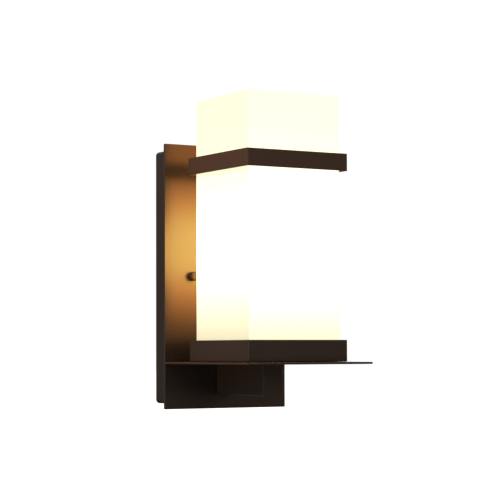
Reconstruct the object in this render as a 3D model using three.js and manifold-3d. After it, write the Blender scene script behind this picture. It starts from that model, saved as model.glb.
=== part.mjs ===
// Square wall lantern for outdoor use: an opal glass shade that stands in a square tray on a
// cantilevered shelf, with a steel band round it near the top, on a flat backplate and a wall pan.
//
// Millimetres, +Z up. X runs along the wall, and the lantern stands out from the wall towards -Y.
// The origin is the middle of the mounting bracket's back face, which bears on the wall box.
import * as THREE from 'three';
import { mergeVertices } from 'three/addons/utils/BufferGeometryUtils.js';
import Module from 'manifold-3d';

const wasm = await Module();
wasm.setup();

// ---------------------------------------------------------------- driving dimensions
const SEAT = 0.3; // gap left between two faces that bear on each other
const SLIP = 0.3; // clearance per side where one piece passes through another

// Backplate and wall pan
const PLATE_WIDTH = 138;
const PLATE_HEIGHT = 260;
const PLATE_THICKNESS = 2.5;
const PLATE_CORNER = 1;
const PAN_INSET = 5; // how far the pan stands in from the plate's upper and lower edges
const PAN_SIDE_INSET = 7.5; // and from its sides
const PAN_DEPTH = 30; // wall face to the back of the plate
const PAN_WALL = 1.5;
const PAN_CORNER = 4;
const FOAM_WIDTH = 6; // foam strip just inside the pan's rim
const FOAM_THICKNESS = 3;

// Mounting bracket on the wall box, with the studs that carry the lantern
const BRACKET_LENGTH = 100; // horizontal bar, which holds the studs
const BRACKET_HEIGHT = 112; // upright bar, which takes the wall box's screws
const BRACKET_BAR = 20;
const BRACKET_THICKNESS = 2;
const BOX_SLOT_WIDTH = 5.2;
const BOX_SLOT_START = 33; // from the centre to the near end of a slot
const BOX_SLOT_LENGTH = 15;
const STUD_SPACING = 77;
const STUD_RADIUS = 2;
const STUD_NUT_ACROSS = 7;
const STUD_NUT_HEIGHT = 3.2;
const CAP_NUT_RADIUS = 4.5;
const CAP_NUT_HEIGHT = 7;
const CAP_NUT_ROOF = 1.8;

// Shelf, and the hollow arm under it that carries the wires
const SHELF_RISE = 46; // from the plate's lower edge up to the shelf's top face
const SHELF_MARGIN = 21.5; // shelf in front of the tray
const SHELF_THICKNESS = 2;
const TAB_WIDTH = 20; // tabs on the shelf's rear edge, staked through the plate and the pan
const TAB_SPACING = 90;
const TAB_PROUD = 1.2;
const ARM_WIDTH = 22;
const ARM_HEIGHT = 30;
const ARM_PAST_LAMP = 9; // how far the arm runs on past the lamp's axis
const ARM_WALL = 1.5;

// Tray, band and glass
const GLASS_SIDE = 101.6;
const GLASS_HEIGHT = 250.4;
const GLASS_WALL = 4;
const GLASS_EDGE = 3.5; // outer radius of the glass's edges
const TRAY_GAP = 2.95; // glass to the tray's wall, per side
const TRAY_HEIGHT = 20.5;
const TRAY_WALL = 1.5;
const TRAY_FLOOR = 1.2;
const SHEET_BEND = 2.2; // outer radius of the bent corners of the tray and the band
const GASKET_THICKNESS = 1.2;
const DRAIN_RADIUS = 2;
const DRAIN_OFFSET = 34; // drain holes, from the lamp's axis along X and Y
const BAND_GAP = 3.2; // glass to the band, per side
const BAND_STANDOFF = 23; // plate to the back of the band
const BAND_HEIGHT = 16.5;
const BAND_WALL = 2;
const BAND_FALL = 16.2; // from the plate's upper edge down to the band's
const BUMPER_SIZE = 12;
const SPACER_RADIUS = 5;
const SPACER_SPACING = 50;

// Threaded nipple that clamps lampholder, tray, shelf and arm together
const NIPPLE_RADIUS = 4.85;
const NIPPLE_BORE = 3.5;
const NIPPLE_NUT_ACROSS = 14;
const NIPPLE_NUT_HEIGHT = 3.5;
const WASHER_RADIUS = 7;
const WASHER_THICKNESS = 1;

// Lampholder with its screw shell, and the bulb
const HOLDER_HEIGHT = 46;
const HOLDER_RADIUS = 20;
const HOLDER_FOOT_RADIUS = 16;
const HOLDER_CONTACT_HEIGHT = 18.7; // from the holder's foot up to the top of its centre contact
const HOLDER_CAP_THICKNESS = 1.2;
const COLLAR_RADIUS = 7;
const COLLAR_HEIGHT = 6;
const HOLDER_SHELL_WALL = 0.6;
const THREAD_PITCH = 3.6;
const THREAD_DEPTH = 0.5;
const BULB_THREAD_RADIUS = 13; // crests of the bulb's screw cap
const BULB_THREAD_HEIGHT = 19;
const BULB_LENGTH = 112;
const BULB_RADIUS = 30;

// Wires, bushing and terminal block
const LEAD_RADIUS = 1;
const LEAD_SPACING = 3; // between the two leads where they run together
const BUSHING_RADIUS = 4;
const BUSHING_BORE = 3.1;
const BUSHING_FLANGE = 6;
const SMALL_SCREW_RADIUS = 1.5;
const SMALL_HEAD_RADIUS = 2.9;
const SMALL_HEAD_HEIGHT = 2;
const BLOCK_POLES = 3;
const BLOCK_PITCH = 10;
const BLOCK_HEIGHT = 20;
const BLOCK_THICKNESS = 15;
const BLOCK_RISE = 40; // from the wires' entry up to the block's lower face
const INSERT_RADIUS = 2.3;
const INSERT_BORE = 1.4;

// Facets round a full turn
const ROUND = 24;
const SMALL_ROUND = 12;
const SHEET_FACETS = 6; // for each arc of a sheet's outline, and twice as many round a hole
const EDGE_FACETS = 3;

// ---------------------------------------------------------------- sizes and places worked out from them
const TRAY_SIDE = GLASS_SIDE + 2 * (TRAY_GAP + TRAY_WALL);
const BAND_SIDE = GLASS_SIDE + 2 * (BAND_GAP + BAND_WALL);
const LAMP_REACH = BAND_STANDOFF + BAND_SIDE / 2; // the plate's front face out to the lamp's axis
const SHELF_DEPTH = LAMP_REACH - SEAT + TRAY_SIDE / 2 + SHELF_MARGIN;
const ARM_LENGTH = LAMP_REACH - SEAT + ARM_PAST_LAMP;
const PLATE_BACK = -PAN_DEPTH;
const PLATE_FRONT = PLATE_BACK - PLATE_THICKNESS;
const PANEL_FRONT = PLATE_BACK + SEAT; // the pan's front panel, behind the plate
const PANEL_BACK = PANEL_FRONT + PAN_WALL;
const LAMP_Y = PLATE_FRONT - LAMP_REACH;
const PAN_WIDTH = PLATE_WIDTH - 2 * PAN_SIDE_INSET;
const PAN_HEIGHT = PLATE_HEIGHT - 2 * PAN_INSET;
const SHELF_TOP = -PLATE_HEIGHT / 2 + SHELF_RISE;
const SHELF_UNDERSIDE = SHELF_TOP - SHELF_THICKNESS;
const ARM_TOP = SHELF_UNDERSIDE - SEAT;
const ARM_CEILING = ARM_TOP - ARM_WALL;
const ARM_MIDDLE = ARM_TOP - ARM_HEIGHT / 2;
const ARM_BACK = PLATE_FRONT - SEAT;
const TRAY_BOTTOM = SHELF_TOP + SEAT;
const TRAY_INSIDE = TRAY_BOTTOM + TRAY_FLOOR;
const GASKET_TOP = TRAY_INSIDE + SEAT + GASKET_THICKNESS;
const GLASS_BOTTOM = GASKET_TOP + SEAT;
const BAND_TOP = PLATE_HEIGHT / 2 - BAND_FALL;
const BAND_BOTTOM = BAND_TOP - BAND_HEIGHT;
const BAND_BACK = LAMP_Y + BAND_SIDE / 2;
const HOLDER_CAP_BOTTOM = TRAY_INSIDE + SEAT;
const HOLDER_FOOT = HOLDER_CAP_BOTTOM + HOLDER_CAP_THICKNESS + SEAT;
const BULB_TIP = HOLDER_FOOT + HOLDER_CONTACT_HEIGHT + SEAT;
const BLOCK_BOTTOM = ARM_MIDDLE + BLOCK_RISE;
const LEFT_AND_RIGHT = [['left', -1], ['right', 1]];

// ---------------------------------------------------------------- materials
const finish = (color, roughness, metalness, extra = {}) =>
  new THREE.MeshStandardMaterial({ color, roughness, metalness, ...extra });
const bronze = finish(0x33261e, 0.42, 0.35);
const opalGlass = finish(0xfff6dc, 0.25, 0, { emissive: 0xfff2d0, emissiveIntensity: 1 });
const zinc = finish(0xb4b6b8, 0.35, 0.9);
const brass = finish(0xb8924a, 0.3, 0.9);
const nickel = finish(0xc4c2bc, 0.28, 0.95);
const porcelain = finish(0xf2efe8, 0.3, 0);
const foam = finish(0x1c1c1c, 0.95, 0);
const silicone = finish(0xd9d8d2, 0.6, 0);
const nylon = finish(0xe6e3da, 0.5, 0);
const blackPlastic = finish(0x161616, 0.5, 0);
const whitePlastic = finish(0xf0efec, 0.45, 0);
const bulbDiffuser = finish(0xfff7e6, 0.4, 0, { emissive: 0xffe6b8, emissiveIntensity: 1 });
const blackWire = finish(0x151515, 0.5, 0);
const whiteWire = finish(0xe8e6e0, 0.5, 0);
const greenWire = finish(0x2f7a3c, 0.5, 0);
const greenPaint = finish(0x2c6b36, 0.4, 0.5);

// ---------------------------------------------------------------- shapes
/** A rectangle with round corners, centred on (x, y). */
function roundedRectangle(width, height, radius, x = 0, y = 0, Outline = THREE.Shape) {
  const [a, b] = [width / 2, height / 2];
  return new Outline()
    .absarc(x + a - radius, y - b + radius, radius, -Math.PI / 2, 0)
    .absarc(x + a - radius, y + b - radius, radius, 0, Math.PI / 2)
    .absarc(x - a + radius, y + b - radius, radius, Math.PI / 2, Math.PI)
    .absarc(x - a + radius, y - b + radius, radius, Math.PI, 1.5 * Math.PI);
}

/** A rectangular hole with barely eased corners, for a shape's holes. */
const slot = (width, height, x, y, radius = 0.4) =>
  roundedRectangle(width, height, radius, x, y, THREE.Path);

/** A round hole for a shape's holes. */
const roundHole = (radius, x = 0, y = 0) => new THREE.Path().absarc(x, y, radius, 0, 2 * Math.PI);

/** A shape with holes, raised by depth along +Z from z = 0. */
function raised(shape, holes, depth, curveSegments = SHEET_FACETS) {
  shape.holes.push(...holes);
  return new THREE.ExtrudeGeometry(shape, { depth, bevelEnabled: false, curveSegments });
}

/** The same for an upright sheet: the shape's x and y become X and Z, and depth runs along -Y. */
const upright = (shape, holes, depth, curveSegments) =>
  raised(shape, holes, depth, curveSegments).rotateX(Math.PI / 2);

/** A solid of revolution about +Z from [radius, height] pairs that start and end on the axis, or close. */
function turned(profile, segments = ROUND) {
  const points = profile.map(([radius, height]) => new THREE.Vector2(radius, height));
  return new THREE.LatheGeometry(points, segments).rotateX(Math.PI / 2);
}

/** A plain cylinder about +Z from z = 0 up. */
const rod = (radius, length, segments = SMALL_ROUND) =>
  turned([[0, 0], [radius, 0], [radius, length], [0, length]], segments);

/** A hexagonal nut about +Z from z = 0 up. */
function hexNut(across, height, bore) {
  const corner = across / Math.sqrt(3);
  const corners = Array.from({ length: 6 }, (_, i) => (i * Math.PI) / 3);
  const shape = new THREE.Shape(
    corners.map((angle) => new THREE.Vector2(corner * Math.cos(angle), corner * Math.sin(angle))),
  );
  return raised(shape, [roundHole(bore)], height, SMALL_ROUND);
}

/** A closed box between two corners. */
function block([x0, y0, z0], [x1, y1, z1]) {
  return new THREE.BoxGeometry(x1 - x0, y1 - y0, z1 - z0)
    .translate((x0 + x1) / 2, (y0 + y1) / 2, (z0 + z1) / 2);
}

/** A geometry as a manifold-3d solid, with its shared vertices merged. */
function solid(geometry) {
  const bare = geometry.clone();
  bare.deleteAttribute('normal');
  bare.deleteAttribute('uv');
  const merged = mergeVertices(bare, 1e-3);
  return new wasm.Manifold(
    new wasm.Mesh({
      numProp: 3,
      vertProperties: merged.attributes.position.array,
      triVerts: new Uint32Array(merged.index.array),
    }),
  );
}

/** A manifold-3d solid as a geometry for a mesh. */
function geometryOf(shape) {
  const { vertProperties, triVerts } = shape.getMesh();
  const geometry = new THREE.BufferGeometry();
  geometry.setAttribute('position', new THREE.BufferAttribute(vertProperties, 3));
  geometry.setIndex(new THREE.BufferAttribute(triVerts, 1));
  geometry.computeVertexNormals();
  return geometry;
}

/** The first geometry with the others cut out of it. */
const cut = (base, ...tools) =>
  geometryOf(tools.reduce((left, tool) => left.subtract(solid(tool)), solid(base)));

/** Geometries joined into one body. */
const joined = (first, ...others) =>
  geometryOf(others.reduce((sum, other) => sum.add(solid(other)), solid(first)));

/** A wire: a round section swept along a smooth curve through points. */
function wire(points, radius, steps) {
  const places = points.map((p) => new THREE.Vector3(...p));
  const extrudePath = new THREE.CatmullRomCurve3(places, false, 'centripetal');
  const section = new THREE.Shape().absarc(0, 0, radius, 0, 2 * Math.PI);
  return new THREE.ExtrudeGeometry(section, { steps, extrudePath, curveSegments: 4, bevelEnabled: false });
}

/** A named mesh at a place. */
function piece(name, geometry, material, position = [0, 0, 0], rotation = [0, 0, 0]) {
  const mesh = new THREE.Mesh(geometry, material);
  mesh.name = name;
  mesh.position.set(...position);
  mesh.rotation.set(...rotation);
  return mesh;
}

/** A group of meshes at a place. */
function assembly(meshes, position = [0, 0, 0]) {
  const group = new THREE.Group();
  group.add(...meshes);
  group.position.set(...position);
  return group;
}

/** Turns a piece that was made about +Z so that it points along -Y, out from the wall. */
const OUTWARD = [Math.PI / 2, 0, 0];
/** Turns a piece that was made about +Z so that it points along +Y, into the wall. */
const INWARD = [-Math.PI / 2, 0, 0];

/** A pan-head screw about +Z: its head from z = 0 down, its shank from z = 0 up. */
function panScrew(radius, headRadius, headHeight, length) {
  const crown = headHeight * 0.35;
  return turned([
    [0, -headHeight], [headRadius - crown, -headHeight], [headRadius, -headHeight + crown],
    [headRadius, 0], [radius, 0], [radius, length], [0, length],
  ], SMALL_ROUND);
}

// ---------------------------------------------------------------- wall pan and backplate
const screwHole = SMALL_SCREW_RADIUS + SLIP;
const ARM_SCREW_RISE = 9; // the arm's two screws, above and below its middle
const bandMiddle = (BAND_TOP + BAND_BOTTOM) / 2;

/** Every hole that the pan's panel and the backplate share, as [x, z]. */
function sharedHoles(studHole) {
  return [
    ...LEFT_AND_RIGHT.map(([, side]) => roundHole(studHole, (side * STUD_SPACING) / 2, 0)),
    ...LEFT_AND_RIGHT.map(([, side]) => roundHole(screwHole, (side * SPACER_SPACING) / 2, bandMiddle)),
    ...[-1, 1].map((side) => roundHole(screwHole, 0, ARM_MIDDLE + side * ARM_SCREW_RISE)),
    ...LEFT_AND_RIGHT.map(([, side]) => slot(
      TAB_WIDTH + 2 * SLIP,
      SHELF_THICKNESS + 2 * SLIP,
      (side * TAB_SPACING) / 2,
      SHELF_TOP - SHELF_THICKNESS / 2,
    )),
    roundHole(BUSHING_RADIUS + SLIP, 0, ARM_MIDDLE),
  ];
}

/** The pressed pan behind the plate: a rim that meets the wall, closed by a panel at the front. */
function wallPan() {
  const outline = () => roundedRectangle(PAN_WIDTH, PAN_HEIGHT, PAN_CORNER);
  const inside = roundedRectangle(
    PAN_WIDTH - 2 * PAN_WALL, PAN_HEIGHT - 2 * PAN_WALL, PAN_CORNER - PAN_WALL, 0, 0, THREE.Path,
  );
  const rim = upright(outline(), [inside], -PANEL_FRONT);
  const panel = upright(outline(), sharedHoles(STUD_RADIUS + SLIP), PAN_WALL)
    .translate(0, PANEL_BACK, 0);
  return piece('wall_pan', joined(rim, panel), bronze);
}

/** The flat plate that shows, a little larger than the pan all round. */
function backplate() {
  const outline = roundedRectangle(PLATE_WIDTH, PLATE_HEIGHT, PLATE_CORNER);
  const sheet = upright(outline, sharedHoles(STUD_RADIUS + SLIP), PLATE_THICKNESS);
  return piece('backplate', sheet, bronze, [0, PLATE_BACK, 0]);
}

/** A foam strip inside the rim that seals the pan to the wall. */
function wallFoam() {
  const gap = 2 * (PAN_WALL + SLIP);
  const outline = roundedRectangle(PAN_WIDTH - gap, PAN_HEIGHT - gap, PAN_CORNER - PAN_WALL);
  const opening = roundedRectangle(
    PAN_WIDTH - gap - 2 * FOAM_WIDTH, PAN_HEIGHT - gap - 2 * FOAM_WIDTH, 1, 0, 0, THREE.Path,
  );
  return piece('wall_foam_seal', upright(outline, [opening], FOAM_THICKNESS, EDGE_FACETS), foam);
}

// ---------------------------------------------------------------- mounting bracket and studs
const GROUND_SCREW_X = 14;

/** A flat cross: its level bar carries the studs, its upright bar has slots for the wall box's screws. */
function mountingBracket() {
  const [reach, rise, half] = [BRACKET_LENGTH / 2, BRACKET_HEIGHT / 2, BRACKET_BAR / 2];
  const cross = new THREE.Shape([
    [reach, -half], [reach, half], [half, half], [half, rise], [-half, rise], [-half, half],
    [-reach, half], [-reach, -half], [-half, -half], [-half, -rise], [half, -rise], [half, -half],
  ].map(([x, z]) => new THREE.Vector2(x, z)));
  const slotMiddle = BOX_SLOT_START + BOX_SLOT_LENGTH / 2;
  const holes = [
    ...LEFT_AND_RIGHT.map(([, side]) => roundHole(STUD_RADIUS + SLIP, (side * STUD_SPACING) / 2, 0)),
    ...[-1, 1].map((side) => slot(
      BOX_SLOT_WIDTH, BOX_SLOT_LENGTH, 0, side * slotMiddle, BOX_SLOT_WIDTH / 2 - 0.1,
    )),
    roundHole(screwHole, GROUND_SCREW_X, 0),
  ];
  return piece('mounting_bracket', upright(cross, holes, BRACKET_THICKNESS), zinc);
}

/** The studs, their lock nuts on the bracket, and the domed cap nuts that show on the plate. */
function studsAndNuts() {
  const capBore = CAP_NUT_HEIGHT - CAP_NUT_ROOF;
  const studLength = -PLATE_FRONT + SEAT + capBore - 1;
  const dome = 1.5;
  return LEFT_AND_RIGHT.flatMap(([name, side]) => {
    const x = (side * STUD_SPACING) / 2;
    const capNut = turned([
      [STUD_RADIUS + SLIP, 0], [CAP_NUT_RADIUS, 0], [CAP_NUT_RADIUS, CAP_NUT_HEIGHT - dome],
      [CAP_NUT_RADIUS - dome * 0.3, CAP_NUT_HEIGHT - dome * 0.35], [CAP_NUT_RADIUS - dome, CAP_NUT_HEIGHT],
      [0, CAP_NUT_HEIGHT], [0, capBore], [STUD_RADIUS + SLIP, capBore], [STUD_RADIUS + SLIP, 0],
    ], ROUND);
    return [
      piece(`stud_${name}`, rod(STUD_RADIUS, studLength), zinc, [x, 0, 0], OUTWARD),
      piece(
        `stud_nut_${name}`, hexNut(STUD_NUT_ACROSS, STUD_NUT_HEIGHT, STUD_RADIUS + SLIP), zinc,
        [x, -BRACKET_THICKNESS - SEAT, 0], OUTWARD,
      ),
      piece(`cap_nut_${name}`, capNut, bronze, [x, PLATE_FRONT - SEAT, 0], OUTWARD),
    ];
  });
}

/** The green earthing screw, threaded into the bracket from the front. */
function groundScrew() {
  const screw = panScrew(SMALL_SCREW_RADIUS, SMALL_HEAD_RADIUS, SMALL_HEAD_HEIGHT, BRACKET_THICKNESS);
  return piece(
    'ground_screw', screw, greenPaint, [GROUND_SCREW_X, -BRACKET_THICKNESS - SEAT, 0], INWARD,
  );
}

// ---------------------------------------------------------------- shelf and arm
/** The thin shelf, with two tabs at the rear that pass through the plate and the pan's panel. */
function shelf() {
  const rear = PLATE_FRONT - SEAT;
  const tabLength = PANEL_BACK + TAB_PROUD - rear;
  const outline = roundedRectangle(PLATE_WIDTH, SHELF_DEPTH, PLATE_CORNER, 0, rear - SHELF_DEPTH / 2);
  const drains = [-1, 1].flatMap((sx) => [-1, 1].map(
    (sy) => roundHole(DRAIN_RADIUS, sx * DRAIN_OFFSET, LAMP_Y + sy * DRAIN_OFFSET),
  ));
  const sheet = raised(outline, [roundHole(NIPPLE_RADIUS + SLIP, 0, LAMP_Y), ...drains], SHELF_THICKNESS);
  const overlap = 2; // how far a tab reaches into the sheet, so that the two join
  const tabs = LEFT_AND_RIGHT.map(([, side]) => {
    const x = (side * TAB_SPACING) / 2;
    return block(
      [x - TAB_WIDTH / 2, rear - overlap, 0], [x + TAB_WIDTH / 2, rear + tabLength, SHELF_THICKNESS],
    );
  });
  return piece('shelf', joined(sheet, ...tabs), bronze, [0, 0, SHELF_UNDERSIDE]);
}

/** The hollow arm from the plate to the lamp's axis: closed all round but for its wire and screw holes. */
function arm() {
  const half = ARM_WIDTH / 2;
  const front = ARM_BACK - ARM_LENGTH;
  const bottom = ARM_TOP - ARM_HEIGHT;
  const body = block([-half, front, bottom], [half, ARM_BACK, ARM_TOP]);
  const inside = block(
    [-half + ARM_WALL, front + ARM_WALL, bottom + ARM_WALL],
    [half - ARM_WALL, ARM_BACK - ARM_WALL, ARM_CEILING],
  );
  const nippleHole = rod(NIPPLE_RADIUS + SLIP, 3 * ARM_WALL, ROUND)
    .translate(0, LAMP_Y, ARM_CEILING - ARM_WALL);
  const throughBack = (radius, z) => rod(radius, 3 * ARM_WALL).rotateX(Math.PI / 2)
    .translate(0, ARM_BACK + ARM_WALL, z);
  const backHoles = [
    throughBack(BUSHING_RADIUS + SLIP, ARM_MIDDLE),
    ...[-1, 1].map((side) => throughBack(screwHole, ARM_MIDDLE + side * ARM_SCREW_RISE)),
  ];
  return piece('arm', cut(body, inside, nippleHole, ...backHoles), bronze);
}

/** The two screws that hold the arm, put in from inside the pan. */
function armScrews() {
  const grip = PANEL_BACK + SEAT - (ARM_BACK - ARM_WALL);
  const screw = panScrew(SMALL_SCREW_RADIUS, SMALL_HEAD_RADIUS, SMALL_HEAD_HEIGHT, grip + 2.5);
  return [['upper', 1], ['lower', -1]].map(([name, side]) => piece(
    `arm_screw_${name}`, screw, zinc, [0, PANEL_BACK + SEAT, ARM_MIDDLE + side * ARM_SCREW_RISE], OUTWARD,
  ));
}

/** The snap bushing that guards the wires where they pass from the arm into the pan. */
function wireBushing() {
  const flange = 1.2;
  const length = PANEL_BACK + SEAT - (ARM_BACK - ARM_WALL) + 1;
  const profile = [
    [BUSHING_BORE, -flange], [BUSHING_FLANGE, -flange], [BUSHING_FLANGE, 0], [BUSHING_RADIUS, 0],
    [BUSHING_RADIUS, length], [BUSHING_BORE, length], [BUSHING_BORE, -flange],
  ];
  return piece(
    'wire_bushing', turned(profile, SMALL_ROUND), blackPlastic, [0, PANEL_BACK + SEAT, ARM_MIDDLE], OUTWARD,
  );
}

// ---------------------------------------------------------------- tray, gasket, band and glass
/** A square frame of bent sheet about the lamp's axis, from z = 0 up. */
function squareFrame(side, wall, height, bend) {
  const inside = roundedRectangle(
    side - 2 * wall, side - 2 * wall, Math.max(bend - wall, 0.3), 0, 0, THREE.Path,
  );
  return raised(roundedRectangle(side, side, bend), [inside], height, EDGE_FACETS);
}

/** The square tray that the glass stands in, clamped to the shelf by the nipple. */
function glassTray() {
  const drains = [-1, 1].flatMap((sx) => [-1, 1].map(
    (sy) => roundHole(DRAIN_RADIUS, sx * DRAIN_OFFSET, sy * DRAIN_OFFSET),
  ));
  const outline = roundedRectangle(TRAY_SIDE, TRAY_SIDE, SHEET_BEND);
  const floor = raised(outline, [roundHole(NIPPLE_RADIUS + SLIP), ...drains], TRAY_FLOOR);
  const walls = squareFrame(TRAY_SIDE, TRAY_WALL, TRAY_HEIGHT, SHEET_BEND);
  return piece('glass_tray', joined(walls, floor), bronze, [0, LAMP_Y, TRAY_BOTTOM]);
}

/** The silicone gasket under the glass's rim. */
function glassGasket() {
  const outer = TRAY_SIDE - 2 * (TRAY_WALL + SLIP);
  const width = (outer - (GLASS_SIDE - 2 * GLASS_WALL)) / 2;
  const pad = squareFrame(outer, width, GASKET_THICKNESS, 1.5);
  return piece('glass_gasket', pad, silicone, [0, LAMP_Y, TRAY_INSIDE + SEAT]);
}

/** The opal glass: a square box with eased edges, closed at the top and open at the bottom. */
function glassShade() {
  const eased = (side, top, edge, skirt) => {
    const geometry = new THREE.ExtrudeGeometry(roundedRectangle(side - 2 * edge, side - 2 * edge, 0.5), {
      depth: top + skirt - 2 * edge,
      bevelSize: edge,
      bevelThickness: edge,
      bevelSegments: EDGE_FACETS,
      curveSegments: EDGE_FACETS,
    });
    return geometry.translate(0, 0, edge - skirt);
  };
  const skirt = 3 * GLASS_EDGE; // extra length below the rim, cut off to leave it square
  const room = GLASS_SIDE;
  const outer = eased(GLASS_SIDE, GLASS_HEIGHT, GLASS_EDGE, skirt);
  const innerEdge = Math.max(GLASS_EDGE - GLASS_WALL / 2, 1);
  const inner = eased(GLASS_SIDE - 2 * GLASS_WALL, GLASS_HEIGHT - GLASS_WALL, innerEdge, 2 * skirt);
  const below = block([-room, -room, -3 * skirt], [room, room, 0]);
  return piece('glass_shade', cut(outer, inner, below), opalGlass, [0, LAMP_Y, GLASS_BOTTOM]);
}

/** The square band round the glass, held off the plate by two spacers. */
function upperBand() {
  const frame = squareFrame(BAND_SIDE, BAND_WALL, BAND_HEIGHT, SHEET_BEND);
  const holes = LEFT_AND_RIGHT.map(([, side]) => rod(screwHole, 3 * BAND_WALL)
    .rotateX(-Math.PI / 2)
    .translate((side * SPACER_SPACING) / 2, BAND_SIDE / 2 - 2 * BAND_WALL, BAND_HEIGHT / 2));
  return piece('upper_band', cut(frame, ...holes), bronze, [0, LAMP_Y, BAND_BOTTOM]);
}

/** The spacers between plate and band, each with a screw at both ends. */
function bandSpacers() {
  const front = BAND_BACK + SEAT;
  const back = PLATE_FRONT - SEAT;
  const tapped = SMALL_SCREW_RADIUS + SLIP;
  const length = back - front;
  const depth = 6; // how far each screw goes into the spacer
  const spacer = turned([
    [tapped, 0], [SPACER_RADIUS, 0], [SPACER_RADIUS, length], [tapped, length], [tapped, 0],
  ], SMALL_ROUND);
  const bandHead = 1; // low head, so that the glass passes it
  const bandScrew = panScrew(SMALL_SCREW_RADIUS, SMALL_HEAD_RADIUS, bandHead, BAND_WALL + 2 * SEAT + depth);
  const plateScrew = panScrew(
    SMALL_SCREW_RADIUS, SMALL_HEAD_RADIUS, SMALL_HEAD_HEIGHT, PANEL_BACK + SEAT - back + depth,
  );
  return LEFT_AND_RIGHT.flatMap(([name, side]) => {
    const x = (side * SPACER_SPACING) / 2;
    return [
      piece(`band_spacer_${name}`, spacer, bronze, [x, back, bandMiddle], OUTWARD),
      piece(`band_screw_${name}`, bandScrew, zinc, [x, BAND_BACK - BAND_WALL - SEAT, bandMiddle], INWARD),
      piece(`spacer_screw_${name}`, plateScrew, zinc, [x, PANEL_BACK + SEAT, bandMiddle], OUTWARD),
    ];
  });
}

/** Clear silicone bumpers on the band's inner faces, which keep the glass from rattling. */
function bandBumpers() {
  const inside = BAND_SIDE / 2 - BAND_WALL - SEAT;
  const thickness = inside - GLASS_SIDE / 2 - SLIP;
  const middle = inside - thickness / 2;
  const pad = raised(roundedRectangle(BUMPER_SIZE, thickness, thickness * 0.3), [], BUMPER_SIZE, EDGE_FACETS);
  const places = [
    ['front', 0, -middle, 0], ['back', 0, middle, 0],
    ['left', -middle, 0, Math.PI / 2], ['right', middle, 0, Math.PI / 2],
  ];
  const bottom = BAND_BOTTOM + (BAND_HEIGHT - BUMPER_SIZE) / 2;
  return places.map(([name, x, y, turn]) => piece(
    `band_bumper_${name}`, pad, silicone, [x, LAMP_Y + y, bottom], [0, 0, turn],
  ));
}

// ---------------------------------------------------------------- nipple and lampholder
/** The threaded nipple with the washer and nut that clamp it from inside the arm. */
function nippleSet() {
  const top = HOLDER_CAP_BOTTOM + HOLDER_CAP_THICKNESS + COLLAR_HEIGHT - 1;
  const washerTop = ARM_CEILING - SEAT;
  const nutTop = washerTop - WASHER_THICKNESS - SEAT;
  const nutBottom = nutTop - NIPPLE_NUT_HEIGHT;
  const bottom = nutBottom - 2;
  const tube = (inner, outer, length, segments) => turned(
    [[inner, 0], [outer, 0], [outer, length], [inner, length], [inner, 0]], segments,
  );
  return [
    piece('nipple', tube(NIPPLE_BORE, NIPPLE_RADIUS, top - bottom, ROUND), zinc, [0, LAMP_Y, bottom]),
    piece(
      'nipple_washer', tube(NIPPLE_RADIUS + SLIP, WASHER_RADIUS, WASHER_THICKNESS, ROUND), zinc,
      [0, LAMP_Y, washerTop - WASHER_THICKNESS],
    ),
    piece(
      'nipple_nut', hexNut(NIPPLE_NUT_ACROSS, NIPPLE_NUT_HEIGHT, NIPPLE_RADIUS + SLIP), zinc,
      [0, LAMP_Y, nutBottom],
    ),
  ];
}

const HOLDER_SCREW_X = 11.5;
const LEAD_POCKET_TOP = 15; // above the holder's foot
const RECESS_HEIGHT = COLLAR_HEIGHT + 2;

/** Radius of a rolled screw thread at a height, as a wave between its crest and its root. */
const threadRadius = (crest, height) =>
  crest - (THREAD_DEPTH / 2) * (1 - Math.cos((2 * Math.PI * height) / THREAD_PITCH));

/** Points up a rolled thread: [radius, height] pairs from one height to another. */
function threadWave(crest, from, to) {
  const steps = Math.round(((to - from) / THREAD_PITCH) * 3);
  return Array.from({ length: steps + 1 }, (_, i) => {
    const height = from + ((to - from) * i) / steps;
    return [threadRadius(crest, height), height];
  });
}

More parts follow.
